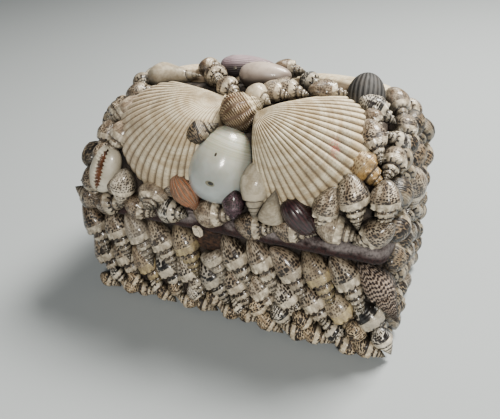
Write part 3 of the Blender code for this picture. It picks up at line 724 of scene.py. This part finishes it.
def velvet_roll(name, low, high, bulge):
    """A padded roll round the box from one height to another that stands out by about bulge mm."""
    ring = rounded_path(BED_X + 0.3, BED_Y + 0.3, ROLL_CORNER)
    count = np.arange(len(ring))
    swell = bulge * (1 + 0.12 * np.sin(count * 0.9) + 0.08 * np.sin(count * 2.3))
    bend = np.arange(20) / 20 * math.tau
    reach = swell[:, None] * np.cos(bend)[None]
    height = np.full_like(reach, (low + high) / 2) + (high - low) / 2 * np.sin(bend)[None]
    points = np.stack((ring[:, :1] + ring[:, 2:3] * reach, ring[:, 1:2] + ring[:, 3:4] * reach, height), -1)
    around, tall = reach.shape
    faces = [(one * tall + two, (one + 1) % around * tall + two, (one + 1) % around * tall + (two + 1) % tall,
              one * tall + (two + 1) % tall) for one in range(around) for two in range(tall)]
    joined(name, [skinned(points.reshape(-1, 3), faces)], velvet, "velvet")


velvet_roll("box_velvet_roll", SEAM - 7.6, SEAM - 0.7, 2.3)
velvet_roll("lid_velvet_roll", SEAM + 0.5, SEAM + 3.6, 0.7)

# ================================================================ lid's lower front row
# Mixed small shells along the lid's front edge, most of them laid lengthwise under the larger ones.

# middle along the front and height; heading; length and width; how light, dotted and brown; knobs
LOWER_ROW = ((-62, 49.6, 158, 15, 11, 0.75, 1, 0.2, 0), (-51, 47.8, 7, 17, 11, 0.8, 1, 0.25, 0),
             (-36.5, 48.2, 340, 16, 11, 1, 0.9, 0.3, 9), (-58, 56, 262, 17, 9.5, 0.75, 1, 0.3, 0),
             (-3, 52, 0, 18, 12, 1.25, 0.7, 0.1, 0), (13.5, 49.6, 358, 17, 11, 1, 1, 0.3, 8),
             (28.5, 51.6, 354, 17, 11, 1.1, 0.9, 0.25, 8), (44, 54.5, 344, 17, 11, 1.35, 0.5, 0, 9),
             (56, 55, 219, 17.5, 10.5, 1.1, 1, 0.1, 8), (-47, 57, 235, 14, 9, 0.7, 1, 0.2, 0))


def stout_whelk(length, width, seed, **form):
    """A whelk with a stout last whorl."""
    return coil(length, width, body=0.56 + 0.05 * math.sin(9 * seed), widest=0.42, ratio=0.63, step=0.17, plump=1.45,
                fine=12, seed=seed, **form)


forms = []
for index, (along, height, heading, long, wide, shade, dots, brown, knobs) in enumerate(LOWER_ROW):
    seed = (0.13 + 0.41 * index) % 1
    form = stout_whelk(long, wide, seed, knobs=knobs, knob=0.13, sides=40)
    place = on_wall("front", along, height, heading, 2.4)
    forms.append(set_in(form, place, seed, shade, dots, brown, roll=50 * math.sin(7 * seed)))
joined("lid_lower_row", forms, dotted_look, "spotted_shell", "lid_front_lower_row")

# ================================================================ scallops
# Four ivory scallop valves fan out from the middle of the lid to its corners. Rounded ribs spread
# from the beak, with fine scales across them, and tan dirt and painted shade darken the grooves between.

RIBS = 25
FAN_HALF = 53             # degrees either side of the valve's axis
RIB_HIGH = 1.45
SKIRT = 4                 # mm that the rim goes down into the glue
BEND_UP, BEND_DOWN = 28, 42  # mm, radii of the lid's arch that the valve follows above and below its middle
STAIN = (0.0414, -0.031, 0.0855)  # m, the middle of a small pink stain on the front right valve

skin = Skin("ivory_scallop")
scales = skin.noise(skin.stretch(skin.map, RIBS * 3, 110, 1), 1.0, 3, 0.6)
zones = skin.noise(skin.stretch(skin.map, 2, 14, 1), 1.0, 2)
from_crest = skin.math("ABSOLUTE", skin.math("SUBTRACT", skin.math("FRACT", skin.times(skin.round, RIBS)), 0.5))
colour = skin.mix(skin.ease(zones, 0.35, 0.65), (0.55, 0.44, 0.27, 1), (0.78, 0.69, 0.5, 1))
colour = skin.mix(skin.ease(scales, 0.5, 0.68, 0, 0.6), colour, (0.33, 0.24, 0.15, 1))
# darker and mauve towards the left: the valves' own tint, and painted shade on the side away from the lamps
aside = skin.split(skin.where)[0]
colour = skin.mix(skin.ease(aside, -0.012, -0.05, 0, 0.4), colour, (0.42, 0.33, 0.28, 1))
# dark brown in the grooves: dirt and painted shade
colour = skin.mix(skin.ease(from_crest, 0.26, 0.5, 0, 0.85), colour, (0.1, 0.062, 0.034, 1))
colour = skin.grimy(colour, 0.45, 130.0)
from_stain = skin.node("VectorMath", operation="DISTANCE", Vector=skin.stretch(skin.where, 1, 1, 0.1))
from_stain.inputs[1].default_value = (STAIN[0], STAIN[1], 0.1 * STAIN[2])
blots = skin.ease(skin.noise(skin.where, 1400.0), 0.44, 0.56, 0, 0.8)
stained = skin.times(skin.ease(from_stain.outputs["Value"], 0.0024, 0.0008), blots)
scallop_look = skin.finish(skin.mix(stained, colour, (0.55, 0.15, 0.13, 1)), skin.ease(scales, 0.3, 0.7, 0.5, 0.75),
                           scales, 0.12)


def scallop(heading, size, bulge):
    """A ribbed valve spreading from its beak along the heading and bent to the arch below it."""
    turn = math.radians(heading)
    columns, rows = RIBS * 8, 32
    part, row = np.meshgrid(np.linspace(-1, 1, columns + 1), np.linspace(0, 1, rows + 1)[1:], indexing="ij")
    rib = 1 - np.abs(2 * ((part + 1) / 2 * RIBS % 1) - 1) ** 2.4
    angle = math.radians(FAN_HALF) * part
    reach = size * np.cos(angle) ** 0.8 * row * (1 + 0.012 * rib * row ** 4)
    x = reach * np.cos(angle) - size / 2
    y = reach * np.sin(angle)
    side = 0.15 + 0.85 * np.clip(1 - np.abs(part) ** 2.6, 0, 1) ** 0.55
    crown = np.where(row < 0.38, 0.35 + 0.65 * np.sin(np.clip(row / 0.38, 0, 1) * math.pi / 2), 1)
    crown = crown * (1 - np.clip((row - 0.3) / 0.7, 0, 1) ** 2.1) ** 0.6
    ease = 0.25 * np.sin(math.tau * row * 4.3) * row ** 2
    up_slope = x * math.sin(turn) + y * math.cos(turn)
    sag = up_slope ** 2 / (2 * np.where(up_slope > 0, BEND_UP, BEND_DOWN))
    z = crown * bulge * side + RIB_HIGH * rib * row ** 0.8 + 0.12 * ease - sag
    top = np.stack((x, y, z), -1).reshape(-1, 3)
    skirt = np.stack((x[:, -1], y[:, -1], -SKIRT - sag[:, -1]), -1)
    up_beak = -size / 2 * math.sin(turn)
    sag_beak = up_beak ** 2 / (2 * (BEND_UP if up_beak > 0 else BEND_DOWN))
    ends = [(-size / 2, 0, bulge * 0.5 - sag_beak), (-size / 2, 0, -SKIRT - sag_beak)]
    points = np.concatenate((top, skirt, ends))
    beak, heel = len(points) - 2, len(points) - 1
    first = len(top)
    flat_u = (part + 1) / 2
    faces, corners = [], []

    def face(*spots):
        """spots are (index, u, v)"""
        faces.append(tuple(spot[0] for spot in spots))
        corners.extend((spot[1], spot[2]) for spot in spots)

    def at(column, line):
        return column * rows + line, flat_u[column, line], row[column, line]

    for column in range(columns):
        u0, u1 = flat_u[column, 0], flat_u[column + 1, 0]
        face((beak, u0, 0), at(column, 0), at(column + 1, 0))
        for line in range(rows - 1):
            face(at(column, line), at(column, line + 1), at(column + 1, line + 1), at(column + 1, line))
        face(at(column, rows - 1), (first + column, u0, 1), (first + column + 1, u1, 1), at(column + 1, rows - 1))
        face((heel, u0, 0), (first + column + 1, u1, 1), (first + column, u0, 1))
    for column, order in ((0, 1), (columns, -1)):
        edge = [(beak, flat_u[column, 0], 0), (heel, flat_u[column, 0], 0), (first + column, flat_u[column, 0], 1)]
        edge += [at(column, line) for line in range(rows - 1, -1, -1)]
        face(*edge[::order])
    return skinned(points, faces, corners)


for corner, across, swing, heading, size, bulge in (
        ("front_left", -24, 47, 219, 47, 11), ("front_right", 27, 47, -25, 45, 11),
        ("back_right", 27, 133, 30, 46, 4.5), ("back_left", -25, 133, 150, 46, 5.5)):
    place = on_arch(across, swing, 0, 1)
    form = scallop(heading, size, bulge)
    form = set_in(form, place @ Matrix.Rotation(math.radians(heading), 4, "Z"), 0.3)
    joined("ivory_scallop_" + corner, [form], scallop_look, "scallop_shell", "scallop_" + corner)

# ================================================================ moon snail
# The large glossy moon snail shell that sits in front, bluish white, with fine growth lines near its
# top, a small brown eye low on its left where the spire ends, and a short dark scratch.

def egg(length, width, narrow=0.0, sides=64, rings=48):
    """A smooth closed egg lying along X, narrower towards +X; v runs from end to end."""
    t, a = np.meshgrid(np.arange(1, rings) / rings, np.arange(sides + 1) / sides, indexing="ij")
    radius = width / 2 * np.sin(math.pi * t) ** 0.85 * (1 - narrow * (t - 0.5) * 2)
    x = -length / 2 * np.cos(math.pi * t)
    angle = math.tau * a + math.pi / 2
    points = np.stack((x, -radius * np.cos(angle), -radius * np.sin(angle)), -1)
    return lathed(points, (-length / 2, 0, 0), (length / 2, 0, 0), a, t)


skin = Skin("moon_snail_gloss")
lines = skin.noise(skin.stretch(skin.map, 1.2, 70, 1), 1.0, 2)
near_top = skin.ease(skin.along, 0.5, 0.72)
milky = skin.noise(skin.where, 90, 3)
colour = skin.mix(skin.ease(skin.along, 0.15, 0.85), (0.32, 0.355, 0.355, 1), (0.46, 0.44, 0.33, 1))
colour = skin.mix(skin.ease(milky, 0.4, 0.7, 0, 0.5), colour, (0.58, 0.61, 0.59, 1))
colour = skin.mix(skin.times(skin.ease(lines, 0.48, 0.58, 0, 0.75), near_top), colour, (0.33, 0.34, 0.25, 1))

# the eye's pale rim and its dark middle, then the scratch: place and half size on the snail's map
for (u, v), (wide, tall), mark in (((0.543, 0.355), (0.026, 0.024), (0.2, 0.19, 0.13, 1)),
                                   ((0.547, 0.359), (0.015, 0.015), (0.02, 0.015, 0.01, 1)),
                                   ((0.52, 0.588), (0.006, 0.016), (0.05, 0.04, 0.03, 1))):
    across = skin.math("DIVIDE", skin.math("SUBTRACT", skin.round, u), wide)
    down = skin.math("DIVIDE", skin.math("SUBTRACT", skin.along, v), tall)
    reach = skin.plus(skin.times(across, across), skin.times(down, down))
    colour = skin.mix(skin.ease(reach, 1.25, 0.75), colour, mark)
snail_look = skin.finish(colour, skin.ease(milky, 0.3, 0.7, 0.12, 0.26), skin.times(lines, near_top), 0.12,
                         Coat_Weight=0.6, Coat_Roughness=0.08, Subsurface_Weight=0.15, Subsurface_Scale=2 * MM)
form = set_in(egg(28.5, 22, narrow=0.17), on_arch(-2.3, 28.5, 76, 1.6), 0.4)
joined("white_moon_snail", [form], snail_look, "moon_snail_shell", "moon_snail")

# ================================================================ money cowrie
# A cream cowrie glued on its back: its mouth, a long slit with teeth on both lips, faces out.


def mouthed(length, width, sides=120, rings=110):
    """A cowrie lying along X with its toothed mouth on top; the map's v is 0 in the mouth, 1 outside it."""
    t, a = np.meshgrid(np.arange(1, rings) / rings, np.arange(sides + 1) / sides, indexing="ij")
    radius = width / 2 * np.sin(math.pi * t) ** 0.72
    x = -length / 2 * np.cos(math.pi * t)
    y = -radius * np.cos(math.tau * a + math.pi / 2)
    z = -radius * np.sin(math.tau * a + math.pi / 2) * 0.72
    lip = y - 0.6 * np.sin(x / length * 5)
    teeth = 0.34 * np.cos(x * 4.4) + 0.14 * np.cos(x * 2.3 + 1)
    open_width = 1.5 * np.clip(1 - (np.abs(x) / (0.47 * length)) ** 3, 0, 1) + teeth
    edge = np.abs(lip) - open_width
    slit = (1 - smooth(-0.25, 0.25, edge)) * (z > 0) * (np.abs(x) < 0.47 * length)
    z = z - 1.6 * slit - 0.3 * (1 - smooth(0.2, 1.8, edge)) * (z > 0)
    return lathed(np.stack((x, y, z), -1), (-length / 2, 0, 0), (length / 2, 0, 0), t, 1 - slit)


skin = Skin("cream_cowrie")
cloud = skin.noise(skin.where, 150, 3)
colour = skin.mix(skin.ease(cloud, 0.35, 0.65), (0.48, 0.43, 0.33, 1), (0.66, 0.62, 0.51, 1))
dusk = skin.mix(skin.ease(cloud, 0.4, 0.6), (0.025, 0.009, 0.004, 1), (0.14, 0.045, 0.014, 1))
colour = skin.mix(skin.ease(skin.along, 0.75, 0.35), colour, dusk)
cowrie_look = skin.finish(skin.grimy(colour, 0.3, 300.0), skin.ease(cloud, 0.3, 0.7, 0.25, 0.42), Coat_Weight=0.3)
form = set_in(mouthed(19.5, 12.8), on_arch(-52.5, 13, 68, 3), 0.2)
joined("cream_money_cowrie", [form], cowrie_look, "cream_shell", "money_cowrie")

# ================================================================ turban and orange whelk
# Two shells whose ribs and cords cross in rows of beads: a squat brown turban with a cream whorl
# above the moon snail, and a slim orange whelk at its lower left.


def beaded_look(name, bead, groove, tip, ribs, cords, tip_from):
    """Lighter beads where ribs and cords cross, darker grooves, and a paler spire."""
    skin = Skin(name)
    rib = skin.math("COSINE", skin.times(skin.round, math.tau * ribs))
    row = skin.math("COSINE", skin.times(skin.along, math.tau * cords))
    height = skin.times(skin.plus(rib, 1.0), skin.plus(row, 1.0))
    cloud = skin.noise(skin.where, 350, 4)
    colour = skin.mix(skin.ease(skin.plus(height, skin.times(cloud, 1.6)), 0.6, 3.2), groove, bead)
    colour = skin.mix(skin.ease(skin.along, tip_from, tip_from + 0.25), colour, tip)
    return skin.finish(skin.shaded(skin.grimy(colour, 0.4, 350.0)), skin.ease(cloud, 0.3, 0.7, 0.3, 0.55), height, 0.25)


turban_look = beaded_look("brown_beads", (0.38, 0.28, 0.17, 1), (0.085, 0.05, 0.028, 1), (0.62, 0.52, 0.35, 1),
                          12, 4, 0.45)
form = coil(17.5, 15, body=0.6, widest=0.36, ratio=0.5, step=0.12, blunt=0.5, slim=0.95, plump=1.6, ribs=12, rib=0.06,
            cords=4, cord=0.03, sides=72, fine=18, seed=0.3)
joined("ribbed_turban", [set_in(form, on_arch(3, 60.5, 38, 4.6), 0.3, 1.3)], turban_look, "spotted_shell", "turban")

orange_look = beaded_look("orange_beads", (0.85, 0.62, 0.45, 1), (0.44, 0.16, 0.065, 1), (0.55, 0.28, 0.15, 1),
                          20, 6, 2.6)
form = coil(18, 11, body=0.66, widest=0.42, ratio=0.6, step=0.05, blunt=0.5, slim=0.94, ribs=20, rib=0.03, cords=4,
            cord=0.02, sides=100, fine=20, seed=0.6)
joined("orange_beaded_whelk", [set_in(form, on_wall("front", -12.5, 60, 298, 4), 0.6)], orange_look, "orange_shell",
       "orange_whelk")

# ================================================================ cream shells
# Worn shells without markings, cream under a film of dust: a whelk and a small cone in front, and
# the conch on the ridge.

cream_look = shell_look("worn_cream", (0.44, 0.37, 0.26, 1), (0.62, 0.55, 0.42, 1), (0.3, 0.22, 0.13, 1),
                        around=24.0, size=0.14, banding=0.35, dashes=9.0, roughness=0.6)
form = coil(21.5, 11.8, body=0.58, widest=0.4, ratio=0.64, step=0.1, blunt=0.62, plump=1.6, sides=48, fine=14,
            seed=0.2)
joined("plain_cream_whelk", [set_in(form, on_arch(12.5, 15, 269, 3.4), 0.2, 1, 0.1, 0)], cream_look, "cream_shell",
       "plain_whelk")
form = coil(15, 9.4, body=0.9, widest=0.84, ratio=0.5, step=0.06, blunt=1.1, plump=0.8, sides=40, fine=10, seed=0.5)
joined("small_cream_cone", [set_in(form, on_wall("front", 22, 61.5, 259, 5.5), 0.5, 1.25, 0.1, 0.1)], cream_look,
       "cream_shell", "cream_cone")
form = coil(12, 9.5, body=0.6, widest=0.42, ratio=0.6, step=0.12, blunt=0.6, sides=40, fine=12, seed=0.9, knobs=7,
            knob=0.06)
joined("cream_shell_over_turban", [set_in(form, on_arch(6.6, 70, 335, 4.5), 0.9, 1.2, 0.3, 0.1)], cream_look,
       "cream_shell")
form = coil(26, 11.4, body=0.66, widest=0.3, ratio=0.62, step=0.05, blunt=0.45, plump=1.15, sides=48, fine=12,
            seed=0.8, knobs=7, knob=0.05)
joined("ridge_conch", [set_in(form, on_arch(-34.5, 87, 357, 4), 0.8, 0.95, 0.2, 0.1)], cream_look, "cream_shell",
       "big_conch")

# ================================================================ dark and smooth shells
# A small dark maroon ribbed shell in the front row; on the ridge a taupe-pink cowrie seen from its
# back and a flat lilac shell; at the right corner the black and grey striped nerite.


def smooth_look(name, one, other, rough, lines=0.0, line=(0, 0, 0, 1), line_from=0.5, coat=0.2, scale=140.0):
    """A smooth skin in two tones, with lines running from end to end where lines isn't 0."""
    skin = Skin(name)
    cloud = skin.noise(skin.where, scale, 4)
    colour = skin.mix(skin.ease(cloud, 0.35, 0.65), one, other)
    stripe = None
    if lines:
        wobble = skin.plus(skin.times(skin.round, lines), skin.times(skin.noise(skin.where, 250, 1), 0.2))
        stripe = skin.math("ABSOLUTE", skin.math("SUBTRACT", skin.math("FRACT", wobble), 0.5))
        colour = skin.mix(skin.ease(stripe, line_from - 0.06, line_from + 0.06), line, colour)
    dull = skin.ease(cloud, 0.3, 0.7, rough - 0.08, rough + 0.1)
    return skin.finish(skin.shaded(skin.grimy(colour, 0.3, 260.0)), dull, stripe, 0.3, Coat_Weight=coat)


maroon_look = smooth_look("dark_maroon", (0.02, 0.006, 0.008, 1), (0.055, 0.016, 0.02, 1), 0.35, 22.0,
                          (0.008, 0.003, 0.004, 1), 0.16, 0.4, 500.0)
form = egg(15.5, 10.5, narrow=0.1, sides=60, rings=40)
joined("maroon_ribbed_shell", [set_in(form, on_wall("front", 31.5, 59, 308, 4.5), 0.1)], maroon_look, "dark_shell",
       "maroon_shell")
taupe_look = smooth_look("taupe_gloss", (0.34, 0.27, 0.23, 1), (0.49, 0.41, 0.35, 1), 0.35, scale=90.0)
form = egg(20, 10, narrow=0.3)
joined("taupe_pink_cowrie", [set_in(form, on_arch(3.8, 89, 10, 4.6), 0.5)], taupe_look, "taupe_shell", "taupe_cowrie")
lilac_look = smooth_look("lilac_valve", (0.28, 0.205, 0.235, 1), (0.41, 0.325, 0.35, 1), 0.5, 30.0,
                         (0.2, 0.14, 0.165, 1), 0.12, 0.1, 70.0)
form = egg(22, 8, narrow=0.45)
joined("lilac_flat_shell", [set_in(form, on_arch(-7, 100, 14, 5.5), 0.5)], lilac_look, "lilac_shell", "lilac_shell")
nerite_look = smooth_look("striped_nerite", (0.045, 0.043, 0.042, 1), (0.065, 0.062, 0.06, 1), 0.7, 24.0,
                          (0.0015, 0.0015, 0.0015, 1), 0.24, 0.0, 300.0)
form = egg(17, 13.8, narrow=0.15, sides=60, rings=40)
joined("grey_striped_nerite", [set_in(form, on_arch(41, 89.5, 108, 3.4, 36), 0.5)], nerite_look, "striped_shell",
       "striped_nerite")

# ================================================================ larger spotted shells of the lid's front
# From left to right a nodular whelk, the largest spotted one, the knobby one at the corner, and above
# it the plump amber one.

form = coil(18.5, 9.4, body=0.56, widest=0.46, ratio=0.6, step=0.17, blunt=0.66, plump=1.4, knobs=8, knob=0.14,
            sides=56, fine=14, seed=0.35)
joined("cream_nodular_whelk", [set_in(form, on_wall("front", 40.4, 63.2, 252, 4.4, 6), 0.35, 1.3, 0.9, 0.05)],
       dotted_look, "spotted_shell", "nodular_whelk")
form = coil(20, 10.8, body=0.5, widest=0.4, ratio=0.66, step=0.2, blunt=0.62, plump=1.5, knobs=12, knob=0.05,
            sides=56, fine=14, seed=0.15)
joined("big_spotted_whelk", [set_in(form, on_wall("front", 49.5, 66.7, 283, 2.8, 10), 0.15, 1.3)], dotted_look,
       "spotted_shell", "spotted_whelk")
form = coil(17.5, 10.2, body=0.46, widest=0.36, ratio=0.66, step=0.2, plump=1.7, knobs=9, knob=0.16, ribs=9, rib=0.06,
            sides=60, fine=14, seed=0.75)
joined("corner_knobby_whelk", [set_in(form, on_wall("front", 59.2, 66, 272, 0.5, 12), 0.75, 1.25)], dotted_look,
       "spotted_shell", "corner_whelk")
amber_look = shell_look("amber_whelk", (0.34, 0.225, 0.105, 1), (0.56, 0.42, 0.23, 1), (0.07, 0.035, 0.015, 1),
                        band=(0.64, 0.39, 0.13, 1), around=26.0, size=0.34, dashes=8.0, roughness=0.38, dirt_and_shade=0.4)
form = coil(18.5, 11.6, body=0.52, widest=0.44, ratio=0.62, step=0.1, blunt=0.78, plump=1.1, slim=0.93, knobs=7,
            knob=0.14, sides=56, fine=14, seed=0.45)
joined("plump_amber_whelk", [set_in(form, on_arch(48, 42, 323, 3), 0.45, 1, 0.7)], amber_look, "amber_shell",
       "amber_whelk")

# ================================================================ bands of small shells on the lid
# Small whelks of many kinds fill the ridge and the borders round the scallops, each its own way round.

purple_look = shell_look("dark_purple_shell", (0.05, 0.018, 0.032, 1), (0.15, 0.075, 0.1, 1), (0.01, 0.004, 0.006, 1),
                         band=(0.1, 0.05, 0.07, 1), rows=3.0, size=0.45, cords=5.0)

# piece, node, look, slot; then for each shell its place (across, swing, heading, proud, tip up),
# its length and width, how light, dotted and brown it is, and its knobs
BANDS = (
    ("right_border_shells", "lid_right_band", dotted_look, "spotted_shell",
     ((46, 70, 315, 5, 0, 10, 7, 1.05, 0.8, 0.35, 6), (47.6, 57.5, 300, 5.2, 0, 17, 9.8, 1.1, 1, 0.1, 0),
      (53.5, 56, 262, 3, 0, 16, 10, 1.05, 1, 0, 8), (49.5, 99, 310, 3.5, 0, 18, 10.5, 0.95, 0.7, 0.25, 0),
      (52, 118, 250, 3, 0, 16, 10.5, 1, 1, 0.1, 0), (50, 136, 275, 2.5, 0, 16, 10.5, 0.9, 1, 0.1, 0),
      (53.5, 88, 300, 3, 0, 15, 10.5, 1, 1, 0, 8))),
    ("right_border_zebras", None, zebra_look, "striped_shell",
     ((45.9, 80, 350, 4, 0, 16, 9.5, 1.05, 1, 0, 8), (52.5, 71, 195, 4, 0, 13, 8, 1.1, 1, 0, 0))),
    ("left_border_shells", "lid_left_band", dotted_look, "spotted_shell",
     ((-46, 39, 236, 3.5, 0, 18.5, 10.5, 1.1, 0.5, 0.25, 0), (-46.5, 58, 212, 3.5, 0, 19, 9.5, 1.2, 0.3, 0.1, 0),
      (-44, 72, 11, 3.5, 0, 16, 9, 0.85, 1, 0.1, 0), (-48, 84, 300, 3.5, 0, 11, 9.5, 0.6, 0.9, 0, 0),
      (-53, 62, 235, 2.4, 0, 15, 9.5, 0.95, 1, 0, 0), (-50, 98, 265, 3, 0, 16, 10, 0.9, 1, 0, 0),
      (-50, 117, 95, 3, 0, 16, 10, 0.9, 1, 0, 0), (-51, 136, 280, 3, 0, 16, 10, 0.9, 1, 0, 0),
      (-54, 42, 255, 2.6, 0, 16, 9.5, 1, 1, 0.1, 0), (-54.5, 24, 262, 2.4, 0, 15, 9, 1, 1, 0.1, 0))),
    ("ridge_left_shells", "lid_ridge_left_band", dotted_look, "spotted_shell",
     ((-16, 87, 303, 3.6, 0, 14, 9.5, 1, 1, 0.1, 7), (-6.5, 75, 325, 3.6, 0, 14, 9, 1, 1, 0.2, 0),
      (-22, 98, 350, 4.5, 0, 14, 8.5, 1, 0.3, 0.5, 0), (-13, 100, 300, 5, 0, 14, 9, 1, 1, 0.2, 0))),
    ("ridge_right_shells", "lid_ridge_right_band", dotted_look, "spotted_shell",
     ((11.5, 77, 345, 3.4, 0, 13, 8.5, 1.3, 0.8, 0, 0), (15.5, 81, 350, 3, 0, 17, 9, 1.15, 1, 0, 0),
      (29.5, 84, 7, 3.5, 0, 16, 9, 1, 0.8, 0.35, 7), (10, 101, 352, 5, 0, 15, 8.5, 1, 0.7, 0.4, 7))),
    ("ridge_black_net_shell", None, zebra_look, "striped_shell", ((21, 92, 330, 3, 0, 12, 8, 0.7, 1, 0, 0),)),
    ("front_left_knobby_shells", "lid_front_left_band", dotted_look, "spotted_shell",
     ((-27.3, 56.5, 262, 6, 70, 12, 13, 1.3, 0.6, 0.1, 11), (-21, 60, 200, 2, 0, 12, 8, 0.8, 1, 0.2, 0))),
    ("small_white_whelk", None, pale_look, "cream_shell", ((-42, 57.3, 250, 4.6, 6, 19, 10.5, 1.4, 1, 0, 0),)),
    ("front_left_zebra", None, zebra_look, "striped_shell", ((-20, 51.3, 354, 4.4, 10, 15, 11.5, 1, 1, 0, 0),)),
    ("dotted_peeper", None, speckled_look, "spotted_shell", ((-8.4, 44.5, 31, 8.6, 0, 13.5, 9, 0.6, 1, 0.35, 0),)),
    ("purple_rough_shell", None, purple_look, "dark_shell", ((6.5, 58.7, 264, 5, 0, 14, 8.5, 1, 1, 0, 9),)))
# on the front wall, where the second number is a height
FRONT_PIECES = ("front_left_knobby_shells", "small_white_whelk", "front_left_zebra", "purple_rough_shell")
for name, stands_for, skin, slot, shells in BANDS:
    forms = []
    for index, (across, swing, heading, proud, tip_up, long, wide, shade, dots, brown, knobs) in enumerate(shells):
        seed = (0.17 + 0.37 * index + across * 0.013) % 1
        form = stout_whelk(long, wide, seed, knobs=knobs, knob=0.02 * knobs, sides=36)
        place = (on_wall("front", across, swing, heading, proud, tip_up) if name in FRONT_PIECES else
                 on_arch(across, swing, heading, proud, tip_up))
        forms.append(set_in(form, place, seed, shade, dots, brown, roll=50 * math.sin(13 * seed)))
    joined(name, forms, skin, slot, *([stands_for] if stands_for else []))
